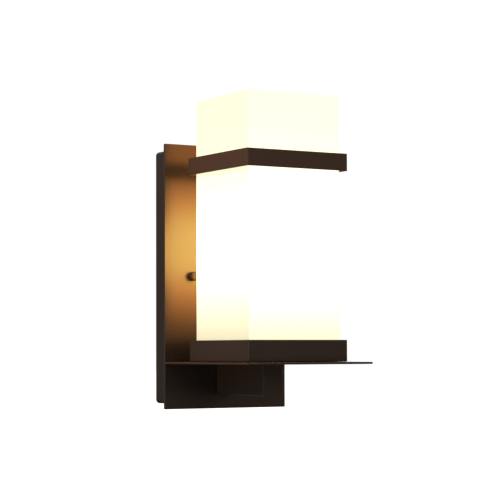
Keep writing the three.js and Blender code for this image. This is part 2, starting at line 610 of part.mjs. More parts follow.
/** The porcelain lampholder on its metal foot plate, with its screw shell and centre contact. */
function lampholder() {
  const cavityRadius = BULB_THREAD_RADIUS + SLIP + THREAD_DEPTH + HOLDER_SHELL_WALL + SLIP;
  const cavityFloor = HOLDER_CONTACT_HEIGHT - 2;
  const lip = 1.5;
  const body = turned([
    [0, RECESS_HEIGHT], [COLLAR_RADIUS + 1.5, RECESS_HEIGHT], [COLLAR_RADIUS + 1.5, 0],
    [HOLDER_FOOT_RADIUS, 0], [HOLDER_FOOT_RADIUS, 10], [HOLDER_RADIUS, 16],
    [HOLDER_RADIUS, HOLDER_HEIGHT - lip], [HOLDER_RADIUS - lip, HOLDER_HEIGHT],
    [cavityRadius, HOLDER_HEIGHT], [cavityRadius, cavityFloor], [0, cavityFloor],
  ]);
  const leadPockets = [-1, 1].map((side) => rod(LEAD_RADIUS + SLIP, LEAD_POCKET_TOP + 1)
    .translate((side * LEAD_SPACING) / 2, 0, 0));
  const screwPockets = [-1, 1].map((side) => rod(SMALL_SCREW_RADIUS + SLIP, 8, SMALL_ROUND)
    .translate(side * HOLDER_SCREW_X, 0, -1));
  const shellInner = BULB_THREAD_RADIUS + SLIP + THREAD_DEPTH;
  const shellTop = HOLDER_HEIGHT - 4;
  const shellBottom = cavityFloor + 6;
  const inner = threadWave(shellInner, shellBottom, shellTop);
  const outer = inner.map(([radius, height]) => [radius + HOLDER_SHELL_WALL, height]);
  const shell = turned([...outer, ...inner.reverse(), outer[0]]);
  const [rise, strip] = [2 - SEAT, 0.5];
  const tongue = new THREE.Shape([
    [-9, 0], [-4.7, 0], [-0.7, rise - strip], [4, rise - strip],
    [4, rise], [-1, rise], [-5, strip], [-9, strip],
  ].map(([x, z]) => new THREE.Vector2(x, z)));
  const contact = raised(tongue, [], 5).rotateX(Math.PI / 2).translate(0, 2.5, cavityFloor + SEAT);
  const footPlate = turned([
    [NIPPLE_RADIUS + SLIP, 0], [HOLDER_FOOT_RADIUS, 0], [HOLDER_FOOT_RADIUS, HOLDER_CAP_THICKNESS],
    [COLLAR_RADIUS, HOLDER_CAP_THICKNESS], [COLLAR_RADIUS, HOLDER_CAP_THICKNESS + COLLAR_HEIGHT],
    [NIPPLE_RADIUS + SLIP, HOLDER_CAP_THICKNESS + COLLAR_HEIGHT], [NIPPLE_RADIUS + SLIP, 0],
  ]);
  const plateHoles = [-1, 1].map((side) => rod(SMALL_SCREW_RADIUS + SLIP, 4)
    .translate(side * HOLDER_SCREW_X, 0, -1));
  const screw = rod(SMALL_SCREW_RADIUS, HOLDER_CAP_THICKNESS + SEAT + 5);
  return [
    piece('lampholder_foot', cut(footPlate, ...plateHoles), zinc, [0, LAMP_Y, HOLDER_CAP_BOTTOM]),
    ...LEFT_AND_RIGHT.map(([name, side]) => piece(
      `lampholder_screw_${name}`, screw, zinc, [side * HOLDER_SCREW_X, LAMP_Y, HOLDER_CAP_BOTTOM],
    )),
    assembly([
      piece('lampholder_body', cut(body, ...leadPockets, ...screwPockets), porcelain),
      piece('lampholder_shell', shell, brass),
      piece('lampholder_contact', contact, brass),
    ], [0, LAMP_Y, HOLDER_FOOT]),
  ];
}

// ---------------------------------------------------------------- bulb
/** The screw-in lamp: contact, insulator, screw cap, plastic body and diffuser, from its tip up. */
function bulb() {
  const tipHeight = 1.6;
  const insulatorTop = 5;
  const capTop = insulatorTop + BULB_THREAD_HEIGHT;
  const capInner = BULB_THREAD_RADIUS - THREAD_DEPTH - 1.2;
  const neckRadius = BULB_THREAD_RADIUS + 0.6;
  const shoulder = BULB_LENGTH - BULB_RADIUS * 1.55; // where the body ends and the diffuser starts
  const shoulderRadius = BULB_RADIUS * 0.93;
  const contact = turned([[0, 0], [3, 0.3], [4.4, tipHeight], [0, tipHeight]], SMALL_ROUND);
  const insulator = turned([
    [0, tipHeight + SEAT], [5.2, tipHeight + SEAT], [capInner + 0.8, insulatorTop], [0, insulatorTop],
  ]);
  const wave = threadWave(BULB_THREAD_RADIUS, insulatorTop + SEAT, capTop);
  const bottom = insulatorTop + SEAT;
  const cap = turned([[capInner, bottom], ...wave, [capInner, capTop], [capInner, bottom]]);
  const flare = (t) => neckRadius + (shoulderRadius - neckRadius) * Math.sin((t * Math.PI) / 2) ** 1.15;
  const bodySide = Array.from({ length: 9 }, (_, i) => {
    const t = i / 8;
    return [flare(t), capTop + 3 + (shoulder - capTop - 3) * t];
  });
  const body = turned([
    [0, bottom + 2], [capInner - SLIP, bottom + 2], [capInner - SLIP, capTop + SEAT],
    [neckRadius, capTop + SEAT],
    ...bodySide, [0, shoulder],
  ]);
  const centre = BULB_LENGTH - BULB_RADIUS;
  const start = Math.asin((shoulder + SEAT - centre) / BULB_RADIUS);
  const dome = Array.from({ length: 13 }, (_, i) => {
    const angle = start + ((Math.PI / 2 - start) * i) / 12;
    return [i === 12 ? 0 : BULB_RADIUS * Math.cos(angle), centre + BULB_RADIUS * Math.sin(angle)];
  });
  const globe = turned([[0, shoulder + SEAT], ...dome]);
  return assembly([
    piece('bulb_contact', contact, nickel),
    piece('bulb_insulator', insulator, blackPlastic),
    piece('bulb_screw_cap', cap, nickel),
    piece('bulb_body', body, whitePlastic),
    piece('bulb_diffuser', globe, bulbDiffuser),
  ], [0, LAMP_Y, BULB_TIP]);
}

// ---------------------------------------------------------------- terminal block and wires
const BLOCK_FRONT = PANEL_BACK + SEAT;
const INSERT_Y = BLOCK_FRONT + BLOCK_THICKNESS * 0.45;
const poleX = (pole) => (pole - (BLOCK_POLES - 1) / 2) * BLOCK_PITCH;
const POLES = Array.from({ length: BLOCK_POLES }, (_, pole) => pole);

/** The nylon terminal block with a brass insert and two clamping screws for each wire. */
function terminalBlock() {
  const width = BLOCK_POLES * BLOCK_PITCH + 2;
  const body = block([-width / 2, 0, 0], [width / 2, BLOCK_THICKNESS, BLOCK_HEIGHT]);
  const insertHoles = POLES.map((pole) => rod(INSERT_RADIUS + SLIP, BLOCK_HEIGHT + 2)
    .translate(poleX(pole), INSERT_Y - BLOCK_FRONT, -1));
  const screwRows = [BLOCK_HEIGHT * 0.28, BLOCK_HEIGHT * 0.72];
  const screwHoleDepth = BLOCK_FRONT + BLOCK_THICKNESS - INSERT_Y;
  const screwHoles = POLES.flatMap((pole) => screwRows.map((z) => rod(1.3 + SLIP, screwHoleDepth + 1)
    .rotateX(-Math.PI / 2)
    .translate(poleX(pole), INSERT_Y - BLOCK_FRONT, z)));
  const insert = turned([
    [INSERT_BORE, 0], [INSERT_RADIUS, 0], [INSERT_RADIUS, BLOCK_HEIGHT - 3], [INSERT_BORE, BLOCK_HEIGHT - 3],
    [INSERT_BORE, 0],
  ], SMALL_ROUND);
  const screwLength = screwHoleDepth - INSERT_RADIUS - SEAT - 1;
  return [
    piece(
      'terminal_block', cut(body, ...insertHoles, ...screwHoles), nylon, [0, BLOCK_FRONT, BLOCK_BOTTOM],
    ),
    ...POLES.map((pole) => piece(
      `terminal_insert_${pole + 1}`, insert, brass, [poleX(pole), INSERT_Y, BLOCK_BOTTOM + 1.5],
    )),
    ...POLES.flatMap((pole) => screwRows.map((z, row) => piece(
      `terminal_screw_${pole + 1}${'ab'[row]}`, rod(1.3, screwLength, SMALL_ROUND), zinc,
      [poleX(pole), INSERT_Y + INSERT_RADIUS + SEAT, BLOCK_BOTTOM + z], INWARD,
    ))),
  ];
}

const EARTH_SCREW_X = 34;

/** The earthing screw in the pan's panel, beside the terminal block. */
function earthScrew() {
  const length = PAN_WALL - SEAT;
  const mid = BLOCK_BOTTOM + BLOCK_HEIGHT / 2;
  const screw = rod(SMALL_HEAD_RADIUS, SMALL_HEAD_HEIGHT + length);
  return piece('earth_screw', screw, greenPaint, [EARTH_SCREW_X, PANEL_BACK + SEAT, mid], INWARD);
}

/** The two leads from the lampholder through nipple, arm and bushing to the terminal block. */
function lampLeads() {
  const holderEnd = HOLDER_FOOT + LEAD_POCKET_TOP;
  const insideArm = ARM_BACK - ARM_WALL;
  const run = [['lead_line', -1, 0, blackWire], ['lead_neutral', 1, 1, whiteWire]];
  return run.map(([name, side, pole, material]) => {
    const x = (side * LEAD_SPACING) / 2;
    const bend = 9;
    return piece(name, wire([
      [x, LAMP_Y, holderEnd],
      [x, LAMP_Y, ARM_CEILING],
      [x, LAMP_Y, ARM_MIDDLE + bend],
      [x, LAMP_Y + bend * 0.3, ARM_MIDDLE + bend * 0.3],
      [x, LAMP_Y + bend, ARM_MIDDLE],
      [x, insideArm - bend, ARM_MIDDLE],
      [x, PANEL_BACK + 2, ARM_MIDDLE],
      [x, INSERT_Y - 1.5, ARM_MIDDLE + 3],
      [(x + poleX(pole)) / 2, INSERT_Y, ARM_MIDDLE + BLOCK_RISE / 2],
      [poleX(pole), INSERT_Y, BLOCK_BOTTOM - 8],
      [poleX(pole), INSERT_Y, BLOCK_BOTTOM + 7],
    ], LEAD_RADIUS, 44), material);
  });
}

/** The earth lead from the terminal block's third pole to the earthing screw. */
function earthLead() {
  const x = poleX(2);
  const side = EARTH_SCREW_X - SMALL_HEAD_RADIUS - LEAD_RADIUS - SLIP;
  const lift = PANEL_BACK + SEAT + LEAD_RADIUS + SLIP;
  return piece('lead_earth', wire([
    [x, INSERT_Y, BLOCK_BOTTOM + 7],
    [x, INSERT_Y, BLOCK_BOTTOM - 5],
    [x + 3, INSERT_Y, BLOCK_BOTTOM - 11],
    [(x + side) / 2 + 2, (INSERT_Y + lift) / 2, BLOCK_BOTTOM - 13],
    [side - 1, lift, BLOCK_BOTTOM - 8],
    [side, lift, BLOCK_BOTTOM + 2],
    [side, lift, BLOCK_BOTTOM + BLOCK_HEIGHT / 2 + 2],
  ], LEAD_RADIUS, 26), greenWire);
}

// ---------------------------------------------------------------- the whole lantern
const lantern = assembly([
  wallPan(),
  backplate(),
  wallFoam(),
  mountingBracket(),
  ...studsAndNuts(),
  groundScrew(),
  shelf(),
  arm(),
  ...armScrews(),
  wireBushing(),
  glassTray(),
  glassGasket(),
  upperBand(),
  ...bandSpacers(),
  ...bandBumpers(),
  ...nippleSet(),
  ...lampholder(),
  ...terminalBlock(),
  earthScrew(),
  ...lampLeads(),
  earthLead(),
  glassShade(),
  bulb(),
]);
lantern.name = 'wall_lantern';

export default lantern;
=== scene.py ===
"""An outdoor wall lantern: the visible pieces and their finishes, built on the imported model's frame.

An opal glass box stands in a square tray on a cantilevered shelf. A steel band goes round it near the
top, and a flat backplate with a shallower pan behind it carries the whole lantern on the wall. Units
are metres in the part's own frame: X along the wall, -Y out from the wall, +Z up.
"""

import logging
import math
from collections.abc import Iterable, Sequence
from dataclasses import dataclass, field, replace
from enum import Enum
from typing import Any

import bmesh
import bpy
from mathutils import Matrix, Vector

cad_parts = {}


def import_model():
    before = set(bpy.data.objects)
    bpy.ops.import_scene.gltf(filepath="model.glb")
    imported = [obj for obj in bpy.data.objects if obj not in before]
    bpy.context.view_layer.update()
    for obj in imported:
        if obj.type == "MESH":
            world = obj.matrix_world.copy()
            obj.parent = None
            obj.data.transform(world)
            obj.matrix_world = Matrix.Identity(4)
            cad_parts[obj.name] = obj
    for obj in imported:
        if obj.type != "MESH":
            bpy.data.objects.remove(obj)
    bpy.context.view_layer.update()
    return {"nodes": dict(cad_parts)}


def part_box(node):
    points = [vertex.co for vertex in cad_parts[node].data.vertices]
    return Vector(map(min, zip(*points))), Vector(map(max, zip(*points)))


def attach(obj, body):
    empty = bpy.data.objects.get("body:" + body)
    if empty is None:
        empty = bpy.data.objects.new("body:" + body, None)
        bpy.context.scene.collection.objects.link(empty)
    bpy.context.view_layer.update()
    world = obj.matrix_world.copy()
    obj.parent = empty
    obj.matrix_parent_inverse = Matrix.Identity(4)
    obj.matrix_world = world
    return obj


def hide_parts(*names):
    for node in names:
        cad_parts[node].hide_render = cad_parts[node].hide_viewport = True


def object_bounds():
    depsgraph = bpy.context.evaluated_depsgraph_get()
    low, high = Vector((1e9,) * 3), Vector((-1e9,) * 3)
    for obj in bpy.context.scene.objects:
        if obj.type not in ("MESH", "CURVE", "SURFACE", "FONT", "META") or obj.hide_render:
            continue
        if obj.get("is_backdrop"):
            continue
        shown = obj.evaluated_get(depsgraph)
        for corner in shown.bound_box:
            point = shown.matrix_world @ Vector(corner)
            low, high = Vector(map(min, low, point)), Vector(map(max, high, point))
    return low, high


LOG = logging.getLogger("lantern")
MM = 0.001
TURN = 2 * math.pi
Colour = tuple[float, float, float]
Flat = tuple[float, float]
Loop = list[Vector]
Mesh = bpy.types.Mesh
Socket = bpy.types.NodeSocket

UPRIGHT = Matrix.Rotation(math.pi / 2, 4, "X")
"""Stands a sheet drawn in X and Y up against the wall: its Y becomes Z, and its front faces -Y."""
TO_WALL, FROM_WALL = Vector((0, 1, 0)), Vector((0, -1, 0))
SUNK = 0.05 * MM
"""How far a panel stays below the faces of the rim that it joins."""
TAB_REACH = 45 * MM
"""Where the shelf's tabs are along X."""
NIPPLE_HOLE, DRAIN_HOLE, DRAIN_OFFSET = 5.15 * MM, 2 * MM, 34 * MM
LAMP_PITCH, LAMP_DEPTH = 3.6 * MM, 0.6 * MM
"""The lamp thread that the holder's shell and the bulb's cap share."""


class Side(Enum):
    """Which side of the lantern a piece is on, seen from the front."""

    LEFT = -1
    RIGHT = 1

    @property
    def label(self) -> str:
        """The side as it stands in names."""
        return self.name.lower()


class Body(Enum):
    """The rigid bodies that pieces ride on."""

    FIXTURE = "fixture"
    SHADE = "shade"
    BULB = "bulb"


# ------------------------------------------------------------------ nodes as expressions
class Signal:
    """A number that a node's socket carries, with ordinary arithmetic."""

    def __init__(self, board: "Board", socket: Socket) -> None:
        """Wraps a socket of one of the board's nodes."""
        self.board = board
        self.socket = socket

    def __add__(self, other: "Signal | float") -> "Signal":
        """Sum."""
        return self.board.math("ADD", self, other)

    __radd__ = __add__

    def __sub__(self, other: "Signal | float") -> "Signal":
        """Difference."""
        return self.board.math("SUBTRACT", self, other)

    def __rsub__(self, other: "Signal | float") -> "Signal":
        """Difference, reflected."""
        return self.board.math("SUBTRACT", other, self)

    def __mul__(self, other: "Signal | float") -> "Signal":
        """Product."""
        return self.board.math("MULTIPLY", self, other)

    __rmul__ = __mul__

    def __truediv__(self, other: "Signal | float") -> "Signal":
        """Quotient."""
        return self.board.math("DIVIDE", self, other)

    def __pow__(self, other: "Signal | float") -> "Signal":
        """Power."""
        return self.board.math("POWER", self, other)

    def __abs__(self) -> "Signal":
        """Size without its sign."""
        return self.board.math("ABSOLUTE", self)

    def exp(self) -> "Signal":
        """Natural exponential."""
        return self.board.math("EXPONENT", self)

    def cos(self) -> "Signal":
        """Cosine of an angle in radians."""
        return self.board.math("COSINE", self)

    def clamped(self) -> "Signal":
        """Held between 0 and 1."""
        return self.board.math("ADD", self, 0.0, clamp=True)

    def ramp(self, start: float, reach: float) -> "Signal":
        """0 up to a start, and 1 from a reach beyond it."""
        return ((self - start) / reach).clamped()


class Board:
    """A node tree with one method that makes any of its nodes."""

    def __init__(self, tree: bpy.types.NodeTree) -> None:
        """Starts with an empty tree."""
        self.tree = tree
        tree.nodes.clear()

    def make(self, kind: str, settings: dict[str, Any] | None = None, **sockets: Any) -> bpy.types.Node:
        """Makes a node.

        Args:
            kind: The node's type.
            settings: Its settings, set before its sockets. A ramp's stops are "stops".
            **sockets: Values or links of its inputs, by name with _ for a space, or i0, i1 by place.

        Returns:
            The node.
        """
        node = self.tree.nodes.new(kind)
        for name, value in (settings or {}).items():
            if name == "stops":
                self._set_stops(node.color_ramp, value)
            else:
                setattr(node, name, value)
        for name, value in sockets.items():
            by_place = name[0] == "i" and name[1:].isdigit()
            self.feed(node.inputs[int(name[1:]) if by_place else name.replace("_", " ")], value)
        return node

    @staticmethod
    def _set_stops(ramp: bpy.types.ColorRamp, stops: Sequence[tuple[float, Colour]]) -> None:
        """Sets a colour ramp's stops.

        Args:
            ramp: The ramp.
            stops: Each stop's place and colour.
        """
        while len(ramp.elements) < len(stops):
            ramp.elements.new(1.0)
        for element, (place, colour) in zip(ramp.elements, stops):
            element.position = place
            element.color = (*colour, 1.0)

    def feed(self, socket: Socket, value: Any) -> None:
        """Links or sets one input socket.

        Args:
            socket: The socket.
            value: A signal, another node's socket, or a plain value.
        """
        if isinstance(value, Signal):
            value = value.socket
        if isinstance(value, Socket):
            self.tree.links.new(value, socket)
        elif socket.type == "RGBA" and len(value) == 3:
            socket.default_value = (*value, 1.0)
        else:
            socket.default_value = value

    def math(self, operation: str, *values: "Signal | float", clamp: bool = False) -> Signal:
        """One Math node on numbers or signals.

        Args:
            operation: What the node works out.
            *values: Its inputs, in order.
            clamp: Whether the result is held between 0 and 1.

        Returns:
            The result.
        """
        sockets = {f"i{place}": value for place, value in enumerate(values)}
        node = self.make("ShaderNodeMath", {"operation": operation, "use_clamp": clamp}, **sockets)
        return Signal(self, node.outputs[0])

    def parts(self, vector: Socket) -> tuple[Signal, Signal, Signal]:
        """The X, Y and Z of a vector socket."""
        split = self.make("ShaderNodeSeparateXYZ", Vector=vector)
        return tuple(Signal(self, output) for output in split.outputs)


# ------------------------------------------------------------------ finishes
class Paint(Board):
    """A material's node tree, with the textures that the finishes share."""

    def __init__(self, name: str) -> None:
        """Makes the material with its surface shader.

        Args:
            name: The material's name.
        """
        self.material = bpy.data.materials.new(name)
        self.material.use_nodes = True
        super().__init__(self.material.node_tree)
        self.surface = self.make("ShaderNodeBsdfPrincipled")
        self.make("ShaderNodeOutputMaterial", Surface=self.surface.outputs["BSDF"])
        self.place = self.make("ShaderNodeTexCoord").outputs["Object"]

    def noise(self, size: float, detail: float, stretch: Sequence[float] | None = None) -> Signal:
        """Soft noise from 0 to 1 whose features are about size across.

        Args:
            size: About how large its features are.
            detail: How much finer noise is added.
            stretch: Scales along the axes, for noise that isn't even.

        Returns:
            The noise.
        """
        place = self.place
        if stretch:
            place = self.make("ShaderNodeMapping", Vector=place, Scale=tuple(stretch)).outputs["Vector"]
        node = self.make("ShaderNodeTexNoise", Vector=place, Scale=1 / size, Detail=detail, Roughness=0.55)
        return Signal(self, node.outputs["Fac"])

    def cells(self, size: float) -> Signal:
        """Distance to the nearest of a scatter of points, as in foam."""
        node = self.make("ShaderNodeTexVoronoi", Vector=self.place, Scale=1 / size)
        return Signal(self, node.outputs["Distance"])

    def blend(self, factor: Signal, first: Any, second: Any) -> Socket:
        """A colour between two, by a factor."""
        node = self.make("ShaderNodeMix", {"data_type": "RGBA"}, i0=factor, i6=first, i7=second)
        return node.outputs[2]

    def mixed(self, how: str, first: Any, second: Any) -> Socket:
        """Two colours put together channel by channel."""
        settings = {"data_type": "RGBA", "blend_type": how, "clamp_result": False}
        return self.make("ShaderNodeMix", settings, i0=1.0, i6=first, i7=second).outputs[2]

    def scaled(self, colour: Any, level: Signal) -> Socket:
        """A colour at a level."""
        grey = self.make("ShaderNodeCombineColor", i0=level, i1=level, i2=level).outputs[0]
        return self.mixed("MULTIPLY", colour, grey)

    def bump(self, height: Signal, depth: float) -> None:
        """Feeds the surface's normal with a relief of that depth."""
        node = self.make("ShaderNodeBump", Height=height, Distance=depth, Strength=1.0)
        self.set(Normal=node.outputs["Normal"])

    def set(self, **sockets: Any) -> None:
        """Sets or links the surface's own sockets, by name with _ for a space."""
        for name, value in sockets.items():
            self.feed(self.surface.inputs[name.replace("_", " ")], value)


def shaded(colour: Colour, share: float) -> Colour:
    """The colour made lighter or darker by a share."""
    return tuple(min(1.0, max(0.0, channel * (1 + share))) for channel in colour)


@dataclass(frozen=True)
class Finish:
    """A plain finish: a colour that drifts a little, a gloss that drifts with it, and a fine grain."""

    name: str
    slot: str
    colour: Colour
    roughness: float
    metallic: float = 0.0
    specular: float = 0.5
    sheen: Colour = (1.0, 1.0, 1.0)
    drift: float = 0.12
    drift_size: float = 12 * MM
    smudge: float = 0.08
    smudge_scale: float = 0.6
    grain_size: float = 0.6 * MM
    grain_depth: float = 0.01 * MM
    coat: float = 0.0

    def material(self) -> bpy.types.Material:
        """The finish's material, made once."""
        known = bpy.data.materials.get(self.name)
        return known or self._make()

    def _make(self) -> bpy.types.Material:
        """Makes the material.

        Returns:
            The new material.
        """
        paint = Paint(self.name)
        paint.set(Metallic=self.metallic, Specular_IOR_Level=self.specular)
        paint.set(Specular_Tint=self.sheen, Coat_Weight=self.coat)
        self.dress(paint)
        paint.material.diffuse_color = (*self.colour, 1.0)
        return paint.material

    def toned(self, paint: Paint, factor: Signal, darker: float, lighter: float) -> Socket:
        """The colour, between a darker and a lighter share of itself."""
        return paint.blend(factor, shaded(self.colour, -darker), shaded(self.colour, lighter))

    def worn(self, signal: Signal, share: float, more: Signal | float = 0.0) -> Signal:
        """The roughness, varied by half a share either way, and by anything more."""
        return (self.roughness + more + (signal - 0.5) * share).clamped()

    def dress(self, paint: Paint) -> None:
        """Links what varies over the surface.

        Args:
            paint: The material's node tree.
        """
        paint.set(
            Base_Color=self.toned(paint, paint.noise(self.drift_size, detail=4.0), self.drift, self.drift),
            Roughness=self.worn(paint.noise(self.drift_size * self.smudge_scale, detail=5.0), self.smudge),
        )
        paint.bump(paint.noise(self.grain_size, detail=2.0), self.grain_depth)


@dataclass(frozen=True)
class PowderCoat(Finish):
    """Satin powder coat: a fine pebbled skin, tiny flakes of another tone and a soft handled sheen."""

    smudge_scale: float = 2.0
    flake: Colour = (0.1, 0.05, 0.026)
    flake_share: float = 0.3
    flake_size: float = 0.35 * MM
    flake_floor: float = 0.62
    flake_gain: float = 9.0
    flake_gloss: float = 0.1
    lump_scale: float = 3.0
    lump_share: float = 0.8

    def dress(self, paint: Paint) -> None:
        """Links the flakes, the drift of tone and the pebbled relief.

        Args:
            paint: The material's node tree.
        """
        base = self.toned(paint, paint.noise(self.drift_size, detail=4.0), self.drift, self.drift)
        fleck = (paint.noise(self.flake_size, detail=1.0) - self.flake_floor) * self.flake_gain
        fleck = fleck.clamped() * self.flake_share
        smudge = paint.noise(self.drift_size * self.smudge_scale, detail=5.0)
        lumps = paint.noise(self.grain_size * self.lump_scale, detail=1.0) * self.lump_share
        paint.set(
            Base_Color=paint.blend(fleck, base, self.flake),
            Roughness=self.worn(smudge, self.smudge, fleck * -self.flake_gloss),
        )
        paint.bump(paint.noise(self.grain_size, detail=2.0) + lumps, self.grain_depth)


@dataclass(frozen=True)
class DrawnMetal(Finish):
    """Bare or plated metal with fine lines left by drawing or turning, and a little tarnish."""

    metallic: float = 1.0
    tarnish: Colour = (0.2, 0.19, 0.17)
    tarnish_share: float = 0.3
    tarnish_floor: float = 0.45
    tarnish_gain: float = 3.0
    tarnish_dulling: float = 0.3
    lines: tuple[float, float, float] = (1.0, 1.0, 0.06)

    def dress(self, paint: Paint) -> None:
        """Links the lines, the tarnish and the gloss.

        Args:
            paint: The material's node tree.
        """
        lines = paint.noise(self.grain_size, 2.0, self.lines)
        cloud = (paint.noise(self.drift_size, detail=5.0) - self.tarnish_floor) * self.tarnish_gain
        cloud = cloud.clamped() * self.tarnish_share
        base = self.toned(paint, lines, self.drift, self.drift)
        paint.set(
            Base_Color=paint.blend(cloud, base, self.tarnish),
            Roughness=self.worn(lines, self.smudge, cloud * self.tarnish_dulling),
        )
        paint.bump(lines, self.grain_depth)


@dataclass(frozen=True)
class Foam(Finish):
    """Closed-cell foam: small pits all over, each with painted shade."""

    smudge: float = 0.1

    def dress(self, paint: Paint) -> None:
        """Links the pits: painted shade darkens each pit's bottom and a painted highlight lightens its rim.

        Args:
            paint: The material's node tree.
        """
        pits = paint.cells(self.grain_size)
        # The base colour is painted shade in the pits and a painted highlight on their rims; roughness and
        # relief follow the same cells.
        paint.set(
            Base_Color=self.toned(paint, pits.clamped(), 0.5, 0.6), Roughness=self.worn(pits, self.smudge)
        )
        paint.bump(pits, self.grain_depth)


@dataclass(frozen=True)
class OpalGlass(Finish):
    """Opal glass lit from inside: white beside the bulb, and creamier towards its ends and edges.

    The cream is the even glow of the wall. The swell is the lighter zone at the bulb's height, and the
    cores are the hot ones that light the plate: each is a level, a height, a reach and, for the cores, a
    power. The glow fades in from the foot, dims in the corners and at the bends, and differs between the
    front face, the sides and the rear face.
    """

    drift: float = 0.03
    smudge: float = 0.06
    cream: Colour = (1.0, 0.92, 0.6)
    hot: Colour = (1.0, 0.87, 0.26)
    ember: Colour = (1.0, 0.47, 0.11)
    ember_power: float = 4.0
    strength: float = 44.0
    foot_level: float = 0.48
    foot_from: float = -65 * MM
    foot_reach: float = 85 * MM
    top_level: float = 0.82
    front_gain: float = 0.44
    back_loss: float = 0.15
    swell: tuple[float, ...] = (0.9, 22 * MM, 66 * MM)
    core: tuple[float, ...] = (15.0, 27 * MM, 31 * MM, 4.0)
    back_core: tuple[float, ...] = (16.5, 31 * MM, 62 * MM, 3.0)
    back_top: float = 4.0
    back_top_from: float = 112 * MM
    back_top_reach: float = 6 * MM
    middle: float = 0.0
    half_side: float = 50 * MM
    face_from: float = 0.95
    face_fade: float = 0.04
    corner_loss: float = 0.06
    corner_power: float = 14.0
    bend: float = 3.5 * MM
    bend_fade: float = 0.8 * MM
    bend_level: float = 1.34
    flow_size: float = 40 * MM
    flow_stretch: tuple[float, float, float] = (1.0, 1.0, 0.35)
    ripple_size: float = 9 * MM

    @staticmethod
    def hump(z: Signal, level: float, middle: float, reach: float, power: float = 2.0) -> Signal:
        """A bell curve along the height, with a flatter top for a higher power."""
        lift = abs((z - middle) / reach) ** power
        return (lift * -1.0).exp() * level

    def dress(self, paint: Paint) -> None:
        """Links the glow and the faint flow lines of the glass.

        Args:
            paint: The material's node tree.
        """
        x, y, z = paint.parts(paint.place)
        across, depth = abs(x), y - self.middle
        out = depth / self.half_side
        back = out.ramp(self.face_from, self.face_fade)
        front = (out * -1.0).ramp(self.face_from, self.face_fade)
        corner = ((across / self.half_side) * abs(out)).clamped() ** self.corner_power
        bend = (across + abs(depth)).ramp(2 * self.half_side - self.bend, self.bend_fade)
        foot = z.ramp(self.foot_from, self.foot_reach)
        rest = self.foot_level + foot * (self.top_level - self.foot_level) + self.hump(z, *self.swell)
        seen = rest * (1 + front * self.front_gain - back * self.back_loss)
        seen = seen * (1 - corner * self.corner_loss)
        seen = seen + bend * (paint.math("MINIMUM", seen, self.bend_level) - seen)
        high = z.ramp(self.back_top_from, self.back_top_reach) * self.back_top
        glow = self.hump(z, *self.core) * (1 - back) + (self.hump(z, *self.back_core) + high) * back
        glow = glow * (1 - bend * (1 - back))
        tint = paint.blend((glow / self.back_core[0]).clamped() ** self.ember_power, self.ember, self.hot)
        light = paint.scaled(self.cream, seen / self.strength), paint.scaled(tint, glow / self.strength)
        flow = paint.noise(self.flow_size, 3.0, self.flow_stretch)
        paint.set(
            Base_Color=self.toned(paint, flow, self.drift, 0.0), Roughness=self.worn(flow, self.smudge),
            Emission_Color=paint.mixed("ADD", *light), Emission_Strength=self.strength,
        )
        paint.bump(paint.noise(self.ripple_size, detail=1.0), self.grain_depth)


@dataclass(frozen=True)
class GlowingShell(Finish):
    """The bulb's frosted shell, lit from inside, a little dimmer round its seam."""

    drift: float = 0.04
    glow: Colour = (1.0, 0.78, 0.5)
    strength: float = 3.0
    seam_height: float = 5 * MM
    seam_reach: float = 20 * MM
    seam_loss: float = 0.45

    def dress(self, paint: Paint) -> None:
        """Links the glow and the frosting.

        Args:
            paint: The material's node tree.
        """
        _, _, z = paint.parts(paint.place)
        rise = z.ramp(self.seam_height, self.seam_reach)
        frost = paint.noise(self.grain_size, detail=2.0)
        paint.set(
            Base_Color=self.toned(paint, frost, self.drift, 0.0), Roughness=self.worn(frost, self.smudge),
            Emission_Color=paint.blend(rise, shaded(self.glow, -self.seam_loss), self.glow),
            Emission_Strength=self.strength,
        )
        paint.bump(frost, self.grain_depth)


BRONZE = PowderCoat(
    "dark bronze powder coat", "bronze", (0.036, 0.0168, 0.0088), 0.42, specular=0.14,
    drift=0.14, drift_size=30 * MM, smudge=0.06, grain_size=0.55 * MM, grain_depth=0.012 * MM,
)
# A darker, glossier copy of the bronze for the plate, where the real plate shares the coat: its dark colour
# is painted shade, so the plate's glow comes mostly from reflecting the glass, and its orange specular tint
# colours that reflected glow.
BRONZE_PLATE_SHADED = replace(
    BRONZE, name="dark bronze plate", colour=(0.0072, 0.0062, 0.0054), roughness=0.33,
    specular=0.5, sheen=(1.0, 0.62, 0.42),
)
# A darker, duller copy of the bronze for the cap nuts: painted shade that tones down the glow they reflect
# from the glass, where the real nuts share the coat.
BRONZE_NUT_SHADED = replace(
    BRONZE, name="dark bronze nuts", colour=(0.026, 0.0105, 0.005), roughness=0.6, specular=0.1,
)
# A darker, more neutral copy of the bronze for the tray: painted shade for how the light falls on it, where
# the real tray shares the coat.
BRONZE_TRAY_SHADED = replace(BRONZE, name="dark bronze tray", colour=(0.026, 0.0158, 0.0104))
# A much darker copy of the bronze for the pan: painted shade that holds back the key light on it, where the
# real pan shares the coat.
BRONZE_PAN_SHADED = replace(BRONZE, name="dark bronze pan", colour=(0.0135, 0.009, 0.0058))
